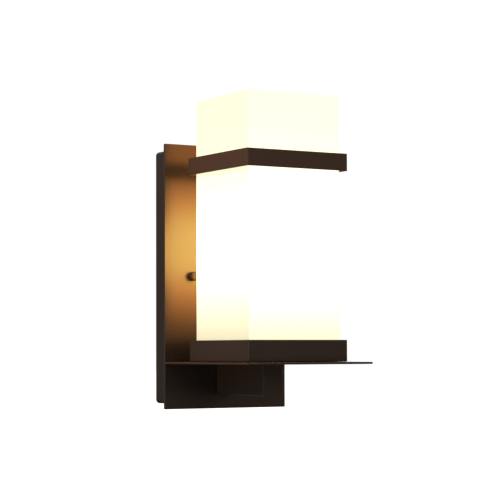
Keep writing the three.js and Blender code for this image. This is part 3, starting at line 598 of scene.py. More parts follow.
# A greyer copy of the bronze for the arm: its tone is painted light and shade for how the light falls under
# the shelf, where the real arm shares the coat.
BRONZE_ARM_TONED_FOR_LIGHT = replace(BRONZE, name="dark bronze arm", colour=(0.028, 0.0175, 0.0112))
OPAL = OpalGlass("opal glass", "opal_glass", (0.22, 0.21, 0.18), 0.36, specular=0.12, grain_depth=0.04 * MM)
ZINC = DrawnMetal("zinc plate", "zinc", (0.46, 0.47, 0.48), 0.34, drift=0.1, smudge=0.18)
BRASS = DrawnMetal("brass", "brass", (0.62, 0.42, 0.16), 0.3, smudge=0.16, tarnish=(0.24, 0.14, 0.05))
NICKEL = DrawnMetal(
    "nickel plate", "nickel", (0.6, 0.58, 0.54), 0.2, drift=0.06, smudge=0.12,
    tarnish=(0.36, 0.33, 0.28), tarnish_share=0.2,
)
GREEN_SCREW = DrawnMetal(
    "green passivated steel", "green_paint", (0.05, 0.2, 0.07), 0.38, metallic=0.7,
    tarnish=(0.03, 0.09, 0.04),
)
PORCELAIN = Finish(
    "glazed porcelain", "porcelain", (0.82, 0.8, 0.75), 0.35, drift=0.05, smudge=0.1, coat=0.8,
    grain_size=5 * MM, grain_depth=0.05 * MM,
)
FOAM = Foam(
    "closed-cell foam", "foam", (0.014, 0.014, 0.015), 0.95, grain_size=1.1 * MM, grain_depth=0.25 * MM,
)
SILICONE = Finish(
    "clear silicone", "silicone", (0.62, 0.61, 0.57), 0.45, specular=0.4, drift=0.06, grain_depth=0.02 * MM,
)
NYLON = Finish("natural nylon", "nylon", (0.74, 0.71, 0.62), 0.5, drift=0.05, grain_depth=0.02 * MM)
BLACK_PLASTIC = Finish(
    "black moulded plastic", "black_plastic", (0.013, 0.013, 0.014), 0.42, drift=0.2, grain_depth=0.02 * MM,
)
WHITE_PLASTIC = Finish(
    "white moulded plastic", "white_plastic", (0.8, 0.79, 0.76), 0.36, drift=0.03, grain_depth=0.012 * MM,
)
BULB_GLOW = GlowingShell("frosted bulb shell", "bulb_diffuser", (0.9, 0.87, 0.8), 0.5, grain_size=0.8 * MM)
BLACK_WIRE = Finish("black wire jacket", "black_wire", (0.012, 0.012, 0.013), 0.4, drift=0.15)
WHITE_WIRE = Finish("white wire jacket", "white_wire", (0.76, 0.74, 0.69), 0.4, drift=0.05)
GREEN_WIRE = Finish("green wire jacket", "green_wire", (0.03, 0.19, 0.055), 0.4, drift=0.15)
PALE_FLOOR = Finish(
    "pale floor", "floor", (0.9, 0.9, 0.9), 0.9, specular=0.1, drift=0.004, grain_depth=0.0,
)


# ------------------------------------------------------------------ geometry trees
def placed(name: str, data: bpy.types.ID) -> bpy.types.Object:
    """A new object in the scene, at the origin.

    Args:
        name: Its name.
        data: Its mesh, curve, light or camera.

    Returns:
        The object.
    """
    holder = bpy.data.objects.new(name, data)
    bpy.context.collection.objects.link(holder)
    return holder


def plain(carrier: bpy.types.Object, layers: bool = False) -> Mesh:
    """What an object looks like with its modifiers, as a plain mesh. The object goes away.

    Args:
        carrier: The object.
        layers: Whether the mesh keeps all its data layers.

    Returns:
        The mesh.
    """
    graph = bpy.context.evaluated_depsgraph_get()
    shape = carrier.evaluated_get(graph)
    mesh = bpy.data.meshes.new_from_object(shape, preserve_all_data_layers=layers, depsgraph=graph)
    bpy.data.objects.remove(carrier)
    return mesh


class Rule(Board):
    """A Geometry Nodes tree with named inputs."""

    def __init__(self, name: str, inputs: dict[str, str], host: bool = False) -> None:
        """Makes the tree.

        Args:
            name: The tree's name.
            inputs: Each input's name with its socket type, short of "NodeSocket".
            host: Whether the tree takes the mesh that it is put on.
        """
        tree = bpy.data.node_groups.new(name, "GeometryNodeTree")
        super().__init__(tree)
        shape = {"Geometry": "Geometry"}
        for label, kind in {**(shape if host else {}), **inputs, "Material": "Material"}.items():
            tree.interface.new_socket(label, in_out="INPUT", socket_type=f"NodeSocket{kind}")
        tree.interface.new_socket("Geometry", in_out="OUTPUT", socket_type="NodeSocketGeometry")
        self.inputs = self.make("NodeGroupInput").outputs

    def take(self, name: str) -> Signal:
        """One of the tree's inputs as a number."""
        return Signal(self, self.inputs[name])

    def finish(self, geometry: Socket) -> "Rule":
        """Ends the tree: instances made real, smooth, and in their material.

        Args:
            geometry: What the tree has made.

        Returns:
            The tree, for chaining.
        """
        real = self.make("GeometryNodeRealizeInstances", Geometry=geometry).outputs[0]
        smooth = self.make("GeometryNodeSetShadeSmooth", Geometry=real).outputs[0]
        dressed = self.make("GeometryNodeSetMaterial", Geometry=smooth, Material=self.inputs["Material"])
        self.make("NodeGroupOutput", Geometry=dressed.outputs[0])
        return self

    def copies(self, points: Socket, turn: Socket) -> "Rule":
        """Ends the tree with one copy of its Piece on each point, turned as told.

        Args:
            points: Where the copies go.
            turn: How each is turned.

        Returns:
            The tree, for chaining.
        """
        piece = self.make("GeometryNodeObjectInfo", Object=self.inputs["Piece"]).outputs["Geometry"]
        copies = self.make("GeometryNodeInstanceOnPoints", Points=points, Instance=piece, Rotation=turn)
        return self.finish(copies.outputs[0])

    def run(self, finish: Finish, host: Mesh | None = None, **inputs: Any) -> Mesh:
        """Runs the tree and returns its result as a plain mesh.

        Args:
            finish: What the result is dressed in.
            host: The mesh whose points the tree works on.
            **inputs: The tree's named inputs.

        Returns:
            The mesh.
        """
        carrier = placed("carrier", host or bpy.data.meshes.new("host"))
        modifier = carrier.modifiers.new("rule", "NODES")
        modifier.node_group = self.tree
        values = {**inputs, "Material": finish.material()}
        for item in self.tree.interface.items_tree:
            if item.in_out == "INPUT" and item.name in values:
                modifier[item.identifier] = values[item.name]
        return plain(carrier)


def thread_rule() -> Rule:
    """A tree for a rod with a true helical thread, upright from z = 0, closed at both ends.

    Returns:
        The tree.
    """
    kinds = dict.fromkeys(("Radius", "Length", "Pitch", "Depth"), "Float")
    rule = Rule("thread", {**kinds, "Sides": "Int", "Rings": "Int"})
    rod = rule.make(
        "GeometryNodeMeshCylinder", Vertices=rule.inputs["Sides"], Side_Segments=rule.inputs["Rings"],
        Radius=rule.inputs["Radius"], Depth=rule.inputs["Length"],
    )
    x, y, z = rule.parts(rule.make("GeometryNodeInputPosition").outputs[0])
    bearing = rule.math("ARCTAN2", y, x)
    pitch, half = rule.take("Pitch"), rule.take("Length") * 0.5
    wave = 0.5 - (z / pitch * TURN - bearing).cos() * 0.5
    ends = ((half - abs(z)) / pitch * 2.0).clamped()
    draw = 1 - (wave * ends + (1 - ends)) * rule.take("Depth") / rule.take("Radius")
    place = rule.make("ShaderNodeCombineXYZ", X=x * draw, Y=y * draw, Z=z + half)
    shaped = rule.make("GeometryNodeSetPosition", Geometry=rod.outputs["Mesh"], Position=place.outputs[0])
    return rule.finish(shaped.outputs[0])


def scatter_rule() -> Rule:
    """A tree that puts one copy of a piece on each point of its host, turned to the point's direction.

    Returns:
        The tree.
    """
    rule = Rule("copies on points", {"Piece": "Object"}, host=True)
    points = rule.make("GeometryNodeMeshToPoints", Mesh=rule.inputs["Geometry"])
    way = rule.make("GeometryNodeInputNamedAttribute", {"data_type": "FLOAT_VECTOR"}, Name="way")
    turn = rule.make("FunctionNodeAlignRotationToVector", {"axis": "Z"}, Vector=way.outputs[0])
    return rule.copies(points.outputs[0], turn.outputs[0])


def ring_rule() -> Rule:
    """A tree that sets copies of a piece round the Z axis, each turned to face outwards.

    Returns:
        The tree.
    """
    rule = Rule("copies round an axis", {"Piece": "Object", "Count": "Int"})
    points = rule.make("GeometryNodePoints", Count=rule.inputs["Count"])
    index = Signal(rule, rule.make("GeometryNodeInputIndex").outputs[0])
    turn = rule.make("ShaderNodeCombineXYZ", Z=index / rule.take("Count") * TURN)
    return rule.copies(points.outputs[0], turn.outputs[0])


# ------------------------------------------------------------------ meshes
def rounded_rectangle(
    width: float, height: float, radius: float, centre: Flat = (0, 0), steps: int = 8,
) -> list[Flat]:
    """Points round a rectangle with round corners, counter-clockwise.

    Args:
        width: Its size along X.
        height: Its size along Y.
        radius: Its corners' radius.
        centre: Its middle.
        steps: Facets for each corner.

    Returns:
        The points.
    """
    points = []
    for across, up, start in ((1, -1, -90), (1, 1, 0), (-1, 1, 90), (-1, -1, 180)):
        x, y = centre[0] + across * (width / 2 - radius), centre[1] + up * (height / 2 - radius)
        for step in range(steps + 1):
            angle = math.radians(start + 90 * step / steps)
            points.append((x + radius * math.cos(angle), y + radius * math.sin(angle)))
    return points


def circle(radius: float, centre: Flat = (0, 0), steps: int = 32) -> list[Flat]:
    """Points round a circle, counter-clockwise."""
    angles = [TURN * step / steps for step in range(steps)]
    return [(centre[0] + radius * math.cos(a), centre[1] + radius * math.sin(a)) for a in angles]


def raised(points: Iterable[Flat], z: float) -> Loop:
    """Flat points lifted to a height."""
    return [Vector((x, y, z)) for x, y in points]


def mesh_from(bm: bmesh.types.BMesh, name: str) -> Mesh:
    """Closes off a bmesh as a mesh, with its doubles merged and its faces pointing out.

    Args:
        bm: The bmesh, which is freed.
        name: The mesh's name.

    Returns:
        The mesh.
    """
    bmesh.ops.remove_doubles(bm, verts=bm.verts, dist=1e-6)
    bmesh.ops.recalc_face_normals(bm, faces=bm.faces)
    mesh = bpy.data.meshes.new(name)
    bm.to_mesh(mesh)
    bm.free()
    return mesh


def sheet(
    outline: Sequence[Flat], holes: Iterable[Sequence[Flat]], thickness: float, edge: float,
) -> Mesh:
    """A flat sheet with holes and eased edges, lying on z = 0 and reaching up to its thickness.

    Args:
        outline: The sheet's outside.
        holes: The outline of each hole.
        thickness: Its thickness.
        edge: The radius of its eased edges.

    Returns:
        The mesh.
    """
    curve = bpy.data.curves.new("sheet", "CURVE")
    curve.dimensions, curve.fill_mode = "2D", "BOTH"
    curve.extrude, curve.bevel_depth = thickness / 2 - edge, edge
    curve.bevel_resolution, curve.offset = 2, -edge
    for loop in [list(outline), *(list(reversed(hole)) for hole in holes)]:
        spline = curve.splines.new("POLY")
        spline.points.add(len(loop) - 1)
        spline.use_cyclic_u = True
        for point, (x, y) in zip(spline.points, loop):
            point.co = (x, y, 0, 1)
    bm = bmesh.new()
    bm.from_mesh(plain(placed("sheet", curve)))
    bmesh.ops.translate(bm, verts=bm.verts, vec=(0, 0, thickness / 2))
    return mesh_from(bm, "sheet")


def skin(loops: Sequence[Loop], closed: bool = False) -> Mesh:
    """A surface through loops of equally many points.

    Args:
        loops: The loops, in order.
        closed: Whether the last loop joins the first. If not, both end loops are filled.

    Returns:
        The mesh, with its faces pointing out.
    """
    bm = bmesh.new()
    rings = [[bm.verts.new(point) for point in loop] for loop in loops]
    pairs = list(zip(rings, rings[1:])) + ([(rings[-1], rings[0])] if closed else [])
    for low, high in pairs:
        for i in range(len(low)):
            j = (i + 1) % len(low)
            bm.faces.new((low[i], low[j], high[j], high[i]))
    if not closed:
        bm.faces.new(list(reversed(rings[0])))
        bm.faces.new(rings[-1])
    return mesh_from(bm, "skin")


def turned(profile: Sequence[Flat], steps: int, closed: bool = False) -> Mesh:
    """A solid of revolution about Z from (radius, height) pairs. A radius of 0 is a pole."""
    thin = 0.02 * MM
    return skin([raised(circle(max(r, thin), steps=steps), z) for r, z in profile], closed)


def rounded(profile: Sequence[Flat], radius: float, steps: int = 4) -> list[Flat]:
    """A profile with its inner corners rounded off by up to a radius; its ends stay.

    Args:
        profile: The points.
        radius: The largest radius.
        steps: Facets for each corner.

    Returns:
        The rounded profile.
    """
    result = [profile[0]]
    for before, corner, after in zip(profile, profile[1:], profile[2:]):
        here = Vector(corner)
        back, on = Vector(before) - here, Vector(after) - here
        reach = min(radius, back.length * 0.45, on.length * 0.45)
        start, end = here + back.normalized() * reach, here + on.normalized() * reach
        for step in range(steps + 1):
            t = step / steps
            result.append(tuple(start * (1 - t) ** 2 + here * 2 * t * (1 - t) + end * t**2))
    return [*result, profile[-1]]


def rounded_ring(profile: Sequence[Flat], radius: float, steps: int = 4) -> list[Flat]:
    """The same for a profile that closes on itself."""
    around = [profile[-1], *profile, profile[0]]
    return rounded(around, radius, steps)[1:-1]


def bush(
    bore: float, radius: float, low: float, high: float, edge: float, facets: int, steps: int = 48,
) -> Mesh:
    """A turned ring with eased edges, between two heights."""
    section = rounded_ring([(bore, low), (radius, low), (radius, high), (bore, high)], edge, facets)
    return turned(section, steps, closed=True)


def threaded_tube(radius: float, length: float, wall: float) -> Mesh:
    """A rolled tube with the lamp thread, open at both ends, upright from z = 0, of even thickness.

    Args:
        radius: Its largest radius.
        length: Its length.
        wall: Its thickness.

    Returns:
        The mesh.
    """
    sides, rings = 64, int(length / LAMP_PITCH * 10)
    loops = []
    for step in range(2 * rings + 2):
        inside = step > rings
        z = length * (2 * rings + 1 - step if inside else step) / rings
        loop = []
        for side in range(sides):
            angle = TURN * side / sides
            wave = 0.5 - 0.5 * math.cos(TURN * z / LAMP_PITCH - angle)
            r = radius - LAMP_DEPTH * wave - (wall if inside else 0)
            loop.append(Vector((r * math.cos(angle), r * math.sin(angle), z)))
        loops.append(loop)
    return skin(loops, closed=True)


def framed(
    profile: Sequence[Flat], width: float, height: float, corner: float, steps: int = 8,
) -> Mesh:
    """A section swept round a rectangle with round corners.

    Args:
        profile: (inset from the outside, height) pairs that close on themselves.
        width: The rectangle's size along X.
        height: The rectangle's size along Y.
        corner: Its outer corner radius.
        steps: Facets for each corner.

    Returns:
        The mesh of a closed frame.
    """
    loops = [rounded_box_loop(width, height, corner, inset, z, steps) for inset, z in profile]
    return skin(loops, closed=True)


def rounded_box_loop(
    width: float, height: float, corner: float, inset: float, z: float, steps: int,
) -> Loop:
    """A loop round a rounded rectangle, moved in by an inset, at a height."""
    radius = max(corner - inset, 0.15 * MM)
    return raised(rounded_rectangle(width - 2 * inset, height - 2 * inset, radius, steps=steps), z)


def drained(middle: Flat) -> list[list[Flat]]:
    """The holes that shelf and tray share: the nipple's, and four drains round it.

    Args:
        middle: Where the nipple goes through.

    Returns:
        The outline of each hole.
    """
    x, y = middle
    corners = [(x + sx * DRAIN_OFFSET, y + sy * DRAIN_OFFSET) for sx in (-1, 1) for sy in (-1, 1)]
    return [circle(NIPPLE_HOLE, middle), *(circle(DRAIN_HOLE, corner) for corner in corners)]


def joined(*meshes: Mesh) -> Mesh:
    """Several meshes as one.

    Args:
        *meshes: The meshes.

    Returns:
        The new mesh.
    """
    bm = bmesh.new()
    for mesh in meshes:
        bm.from_mesh(mesh)
    result = bpy.data.meshes.new("joined")
    bm.to_mesh(result)
    bm.free()
    return result


def moved(mesh: Mesh, *steps: Matrix | Sequence[float]) -> Mesh:
    """A copy of a mesh after turns and moves, in the order given.

    Args:
        mesh: The mesh.
        *steps: Matrices, or distances along the axes.

    Returns:
        The copy.
    """
    copy = mesh.copy()
    for step in steps:
        copy.transform(step if isinstance(step, Matrix) else Matrix.Translation(Vector(step)))
    return copy


def smooth_path(points: Sequence[Vector], per_span: int = 8) -> list[Vector]:
    """A centripetal curve through points, as the CAD leads follow.

    Args:
        points: The points that it goes through.
        per_span: Steps from point to point.

    Returns:
        The points of the curve.
    """
    ends = [points[0] * 2 - points[1], *points, points[-1] * 2 - points[-2]]
    path = []
    for p0, p1, p2, p3 in zip(ends, ends[1:], ends[2:], ends[3:]):
        gaps = [max((b - a).length ** 0.5, 1e-5) for a, b in ((p0, p1), (p1, p2), (p2, p3))]
        t0, t1, t2, t3 = 0.0, gaps[0], gaps[0] + gaps[1], sum(gaps)
        for step in range(per_span):
            t = t1 + (t2 - t1) * step / per_span
            a1 = p0 * ((t1 - t) / (t1 - t0)) + p1 * ((t - t0) / (t1 - t0))
            a2 = p1 * ((t2 - t) / (t2 - t1)) + p2 * ((t - t1) / (t2 - t1))
            a3 = p2 * ((t3 - t) / (t3 - t2)) + p3 * ((t - t2) / (t3 - t2))
            b1 = a1 * ((t2 - t) / (t2 - t0)) + a2 * ((t - t0) / (t2 - t0))
            b2 = a2 * ((t3 - t) / (t3 - t1)) + a3 * ((t - t1) / (t3 - t1))
            path.append(b1 * ((t2 - t) / (t2 - t1)) + b2 * ((t - t1) / (t2 - t1)))
    return [*path, points[-1]]


def tube(points: Sequence[Vector], radius: float, sides: int = 16) -> Mesh:
    """A round tube along a path, closed at both ends, without twist.

    Args:
        points: The path.
        radius: The tube's radius.
        sides: Facets round it.

    Returns:
        The mesh.
    """
    loops = []
    across = (points[1] - points[0]).orthogonal().normalized()
    for i, point in enumerate(points):
        way = (points[min(i + 1, len(points) - 1)] - points[max(i - 1, 0)]).normalized()
        across = (across - way * across.dot(way)).normalized()
        up = way.cross(across)
        loops.append([point + across * x + up * y for x, y in circle(radius, steps=sides)])
    return skin(loops)


def hexagonal(across: float, height: float, bore: float, steps: int = 48) -> Mesh:
    """A hexagonal nut with chamfered corners, upright from z = 0.

    Args:
        across: Its size across flats.
        height: Its height.
        bore: Its hole's radius.
        steps: Points round it.

    Returns:
        The mesh.
    """
    corner = across / math.sqrt(3)
    chamfer = (corner - across / 2) * 1.05

    def loop(limit: float, z: float) -> Loop:
        """The hexagon cut back to a circle, at a height.

        Args:
            limit: The circle's radius.
            z: The height.

        Returns:
            The loop.
        """
        angles = [TURN * step / steps for step in range(steps)]
        flats = [across / 2 / math.cos((a + math.pi / 6) % (math.pi / 3) - math.pi / 6) for a in angles]
        radii = [min(limit, flat) for flat in flats]
        return [Vector((r * math.cos(a), r * math.sin(a), z)) for r, a in zip(radii, angles)]

    rise = chamfer * 0.6
    levels = [(corner - chamfer, 0), (corner, rise), (corner, height - rise), (corner - chamfer, height)]
    inner = [raised(circle(bore, steps=steps), z) for z in (height, 0)]
    return skin([*(loop(limit, z) for limit, z in levels), *inner], closed=True)


def cross_head_screw(
    radius: float, head: float, rise: float, length: float, steps: int = 32,
) -> Mesh:
    """A pan-head screw with a cross recess: its head from z = 0 down, its shank from z = 0 up.

    Args:
        radius: The shank's radius.
        head: The head's radius.
        rise: The head's height.
        length: The shank's length.
        steps: Points round it.

    Returns:
        The mesh.
    """
    def cross(reach: float, z: float) -> Loop:
        """A four-armed loop at a height.

        Args:
            reach: How far its arms reach.
            z: The height.

        Returns:
            The loop.
        """
        loop = []
        for step in range(steps):
            angle = TURN * step / steps
            r = reach * (0.32 + 0.68 * abs(math.cos(2 * angle)) ** 6)
            loop.append(Vector((r * math.cos(angle), r * math.sin(angle), z)))
        return loop

    outside = rounded([
        (head * 0.62, -rise), (head * 0.94, -rise * 0.62), (head, 0), (radius, 0), (radius, length * 0.9),
        (radius * 0.55, length),
    ], rise * 0.3, 3)
    loops = [cross(head * 0.3, -rise * 0.35), cross(head * 0.56, -rise * 0.99)]
    return skin([*loops, *(raised(circle(r, steps=steps), z) for r, z in outside)])


# ------------------------------------------------------------------ pieces
@dataclass(frozen=True)
class Box:
    """The box that a CAD node fills at rest."""

    node: str
    low: Vector
    high: Vector

    @classmethod
    def of(cls, node: str) -> "Box":
        """The box of a node."""
        low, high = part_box(node)
        return cls(node, Vector(low), Vector(high))

    @property
    def size(self) -> Vector:
        """Its three sizes."""
        return self.high - self.low

    @property
    def centre(self) -> Vector:
        """Its middle."""
        return (self.low + self.high) / 2

    def stand(self, name: str, mesh: Mesh, finish: Finish, **how: Any) -> None:
        """Shows a piece in the node's place, standing on the middle of the box's foot."""
        place = (self.centre.x, self.centre.y, self.low.z)
        show(name, moved(mesh, place), finish, self.node, **how)

    def hang(self, name: str, mesh: Mesh, finish: Finish, out: float = 0.0) -> None:
        """Shows a piece in the node's place, facing out from the box's rear or from further out."""
        place = (self.centre.x, self.high.y - out, self.centre.z)
        show(name, moved(mesh, UPRIGHT, place), finish, self.node)

    def lean(self, name: str, mesh: Mesh, finish: Finish) -> bpy.types.Object:
        """Shows a sheet drawn in the lantern's X and Z, its back on the box's rear."""
        return show(name, moved(mesh, UPRIGHT, (0, self.high.y, 0)), finish, self.node)


def evened(mesh: Mesh) -> Mesh:
    """The same mesh, shaded by its large faces first, so that these look flat up to their eased edges.

    Args:
        mesh: The mesh, which is used up.

    Returns:
        The new mesh.
    """
    carrier = placed("evened", mesh)
    carrier.modifiers.new("easing", "WEIGHTED_NORMAL").keep_sharp = True
    smooth = plain(carrier, layers=True)
    bpy.data.meshes.remove(mesh)
    return smooth


def show(
    name: str, mesh: Mesh, finish: Finish, *nodes: str, body: Body = Body.FIXTURE,
    flat_above: float = 38,
) -> bpy.types.Object:
    """Puts a finished piece in the scene, on its body, in place of its CAD nodes.

    Args:
        name: The piece's name.
        mesh: Its mesh, already in place.
        finish: What it is dressed in.
        *nodes: The CAD nodes that it stands for.
        body: The body it rides on.
        flat_above: Edges sharper than this angle, in degrees, stay sharp.

    Returns:
        The piece's object.
    """
    mesh.materials.clear()
    mesh.materials.append(finish.material())
    mesh.shade_smooth()
    mesh.set_sharp_from_angle(angle=math.radians(flat_above))
    piece = placed(name, evened(mesh))
    piece.data.name = name
    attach(piece, body.value)
    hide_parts(*nodes)
    LOG.info("%s: %d faces on %s for %s", name, len(piece.data.polygons), body.value, ", ".join(nodes))
    return piece


class Screw(Enum):
    """Screw sizes in millimetres: the shank's radius, the head's radius and the head's height."""

    PAN_HEAD = (1.5, 2.9, 2.0)
    LOW_HEAD = (1.5, 2.9, 1.0)
    HOLDER = (1.2, 1.5, 0.4)
    CLAMP = (1.1, 1.3, 0.8)


@dataclass
class Fasteners:
    """Screws and threaded rods; the screws of one call share a size and finish and are made in one go."""

    thread_depth: float = 0.3 * MM
    rings_per_turn: int = 8
    scatter: Rule = field(default_factory=scatter_rule)
    thread: Rule = field(default_factory=thread_rule)

    def copies(
        self, piece: Mesh, seats: Sequence[Sequence[float]], way: Vector, finish: Finish,
    ) -> Mesh:
        """Copies of a piece on its seats, with their Z turned one way, as one mesh.

        Args:
            piece: The piece, upright from z = 0.
            seats: Where the copies go.
            way: The direction of their Z.
            finish: Their finish.

        Returns:
            The mesh of all copies.
        """
        master = placed("master", piece)
        host = bpy.data.meshes.new("seats")
        host.from_pydata(seats, [], [])
        ways = host.attributes.new("way", "FLOAT_VECTOR", "POINT")
        for item in ways.data:
            item.vector = way
        mesh = self.scatter.run(finish, host, Piece=master)
        bpy.data.objects.remove(master)
        return mesh

    def screws(
        self, name: str, nodes: Sequence[str], way: Vector, size: Screw, finish: Finish = ZINC,
    ) -> None:
        """Cross-head screws that stand for CAD screws of one length.

        Args:
            name: The piece's name.
            nodes: The CAD screws.
            way: The direction from head to tip.
            size: Their size.
            finish: Their finish.
        """
        radius, head, rise = (value * MM for value in size.value)
        boxes = [Box.of(node) for node in nodes]
        length = max(abs(a * b) for a, b in zip(boxes[0].size, way)) - rise
        tips = [
            Vector(h if w > 0 else l if w else c for l, h, c, w in zip(box.low, box.high, box.centre, way))
            for box in boxes
        ]
        screw = cross_head_screw(radius, head, rise, length)
        show(name, self.copies(screw, [tip - way * length for tip in tips], way, finish), finish, *nodes)

    def rod(
        self, radius: float, length: float, pitch: float, finish: Finish, sides: int = 24,
    ) -> Mesh:
        """A threaded rod, upright from z = 0.

        Args:
            radius: Its radius over the thread.
            length: Its length.
            pitch: The thread's pitch.
            finish: Its finish.
            sides: Facets round it.

        Returns:
            The mesh.
        """
        return self.thread.run(
            finish, Radius=radius, Length=length, Pitch=pitch, Depth=self.thread_depth, Sides=sides,
            Rings=int(length / pitch * self.rings_per_turn),
        )


@dataclass
class WallSide:
    """The pan against the wall, the plate in front of it, and the bracket with its studs and nuts."""

    fasteners: Fasteners
    edge: float = 0.25 * MM
    plate_corner: float = 1 * MM
    pan_wall: float = 1.5 * MM
    pan_bend: float = 3.0 * MM
    pan_corner: float = 4.0 * MM
    pan_lap: float = 1 * MM
    pan_edge: float = 0.2 * MM
    foam_width: float = 6 * MM
    foam_edge: float = 0.9 * MM
    foam_corner: float = 3.5 * MM
    stud_hole: float = 2.3 * MM
    stud_pitch: float = 0.8 * MM
    screw_hole: float = 1.8 * MM
    wire_hole: float = 4.3 * MM
    slot_width: float = 20.6 * MM
    slot_corner: float = 0.4 * MM
    tab_play: float = 0.12 * MM
    bracket_bar: float = 20 * MM
    bracket_corner: float = 1.5 * MM
    bracket_slot: Flat = (5.2 * MM, 15 * MM)
    bracket_slot_rise: float = 40.5 * MM
    cap_wall: float = 1.8 * MM
    cap_slope: Flat = (0.72, 1.4 * MM)
    cap_edge: float = 0.8 * MM

    def build(self) -> None:
        """Builds every piece of the wall side."""
        self.plate()
        self.pan()
        self.foam()
        self.bracket()
        self.studs_and_nuts()
        for name, node, way in (
            ("bracket_ground_screw", "ground_screw", TO_WALL), ("pan_earth_screw", "earth_screw", FROM_WALL),
        ):
            self.fasteners.screws(name, [node], way, Screw.PAN_HEAD, GREEN_SCREW)

    @staticmethod
    def rounds(nodes: Sequence[str], radius: float) -> list[list[Flat]]:
        """Round holes in X and Z, one for each node that goes through."""
        middles = [Box.of(node).centre for node in nodes]
        return [circle(radius, (middle.x, middle.z)) for middle in middles]

    def shared_holes(self, play: float) -> list[list[Flat]]:
        """The holes that plate and panel share, in X and Z, with some play round the shelf's tabs.

        Args:
            play: The room above and below each tab.

        Returns:
            The outline of each hole.
        """
        tab = Box.of("shelf")
        screws = ["arm_screw_upper", "arm_screw_lower", "spacer_screw_left", "spacer_screw_right"]
        holes = self.rounds(["stud_left", "stud_right"], self.stud_hole)
        holes += self.rounds(screws, self.screw_hole) + self.rounds(["wire_bushing"], self.wire_hole)
        for side in Side:
            middle, tall = (side.value * TAB_REACH, tab.centre.z), tab.size.z + 2 * play
            holes.append(rounded_rectangle(self.slot_width, tall, self.slot_corner, middle, 3))
        return holes

    def plate(self) -> None:
        """The flat plate that shows."""
        box = Box.of("backplate")
        middle = (box.centre.x, box.centre.z)
        outline = rounded_rectangle(box.size.x, box.size.z, self.plate_corner, middle)
        mesh = sheet(outline, self.shared_holes(0.0), box.size.y, self.edge)
        box.lean("plate", mesh, BRONZE_PLATE_SHADED)

    def pan(self) -> None:
        """The pressed pan: a rim with a soft front edge, and a panel with the shared holes."""
        box = Box.of("wall_pan")
        wall, depth, bend, edge = self.pan_wall, box.size.y, self.pan_bend, self.pan_edge
        lip = bend + self.pan_lap
        outer = rounded([(0, edge), (0, depth), (lip, depth)], bend, 8)
        inner = rounded([(lip, depth - wall), (wall, depth - wall), (wall, 0)], bend - wall, 6)
        rim = framed([(edge, 0), *outer, *inner], box.size.x, box.size.z, self.pan_corner, 12)
        outline = rounded_rectangle(box.size.x - 2 * bend, box.size.z - 2 * bend, self.pan_corner - 2 * MM)
        panel = sheet(outline, self.shared_holes(self.tab_play), wall - 2 * SUNK, edge)
        mesh = joined(rim, moved(panel, (0, 0, depth - wall + SUNK)))
        box.lean("pan", mesh, BRONZE_PAN_SHADED)

    def foam(self) -> None:
        """The foam strip just inside the rim."""
        box = Box.of("wall_foam_seal")
        thick, width = box.size.y, self.foam_width
        section = rounded_ring([(0, 0), (0, thick), (width, thick), (width, 0)], self.foam_edge, 4)
        mesh = framed(section, box.size.x, box.size.z, self.foam_corner)
        strip = box.lean("foam_strip", mesh, FOAM)

    def bracket(self) -> None:
        """The flat cross that the studs stand on."""
        box = Box.of("mounting_bracket")
        reach, rise, half = box.size.x / 2, box.size.z / 2, self.bracket_bar / 2
        corners = [
            (reach, -half), (reach, half), (half, half), (half, rise), (-half, rise), (-half, half),
            (-reach, half), (-reach, -half), (-half, -half), (-half, -rise), (half, -rise), (half, -half),
        ]
        width, length = self.bracket_slot
        holes = [
            rounded_rectangle(width, length, width / 2 - SUNK, (0, up * self.bracket_slot_rise))
            for up in (-1, 1)
        ]
        holes += self.rounds(["stud_left", "stud_right"], self.stud_hole)
        holes += self.rounds(["ground_screw"], self.screw_hole)
        mesh = sheet(rounded_ring(corners, self.bracket_corner, 5), holes, box.size.y, self.edge)
        box.lean("bracket", mesh, ZINC)

    def studs_and_nuts(self) -> None:
        """The studs with their true threads, the lock nuts, and the cap nuts on the plate."""
        for side in Side:
            stud, nut, cap = (Box.of(f"{kind}_{side.label}") for kind in ("stud", "stud_nut", "cap_nut"))
            rod = self.fasteners.rod(stud.size.x / 2, stud.size.y, self.stud_pitch, ZINC)
            stud.hang(f"threaded_stud_{side.label}", rod, ZINC)
            mesh = hexagonal(nut.size.z, nut.size.y, self.stud_hole)
            nut.hang(f"lock_nut_{side.label}", mesh, ZINC)
            mesh = self.cap_nut(cap.size.x / 2, cap.size.y)
            cap.hang(f"cap_nut_on_plate_{side.label}", mesh, BRONZE_NUT_SHADED)

    def cap_nut(self, radius: float, height: float) -> Mesh:
        """A round cap nut with a soft crown, hollow for the stud, from z = 0 up.

        Args:
            radius: Its radius.
            height: Its height.

        Returns:
            The mesh.
        """
        bore, (crown, slope) = self.stud_hole, self.cap_slope
        outside = [(bore, 0), (radius, 0), (radius, height - slope), (radius * crown, height), (0, height)]
        inside = [(0, height - self.cap_wall), (bore, height - self.cap_wall)]
        return turned([*rounded(outside, self.cap_edge, 5), *inside], 64, closed=True)


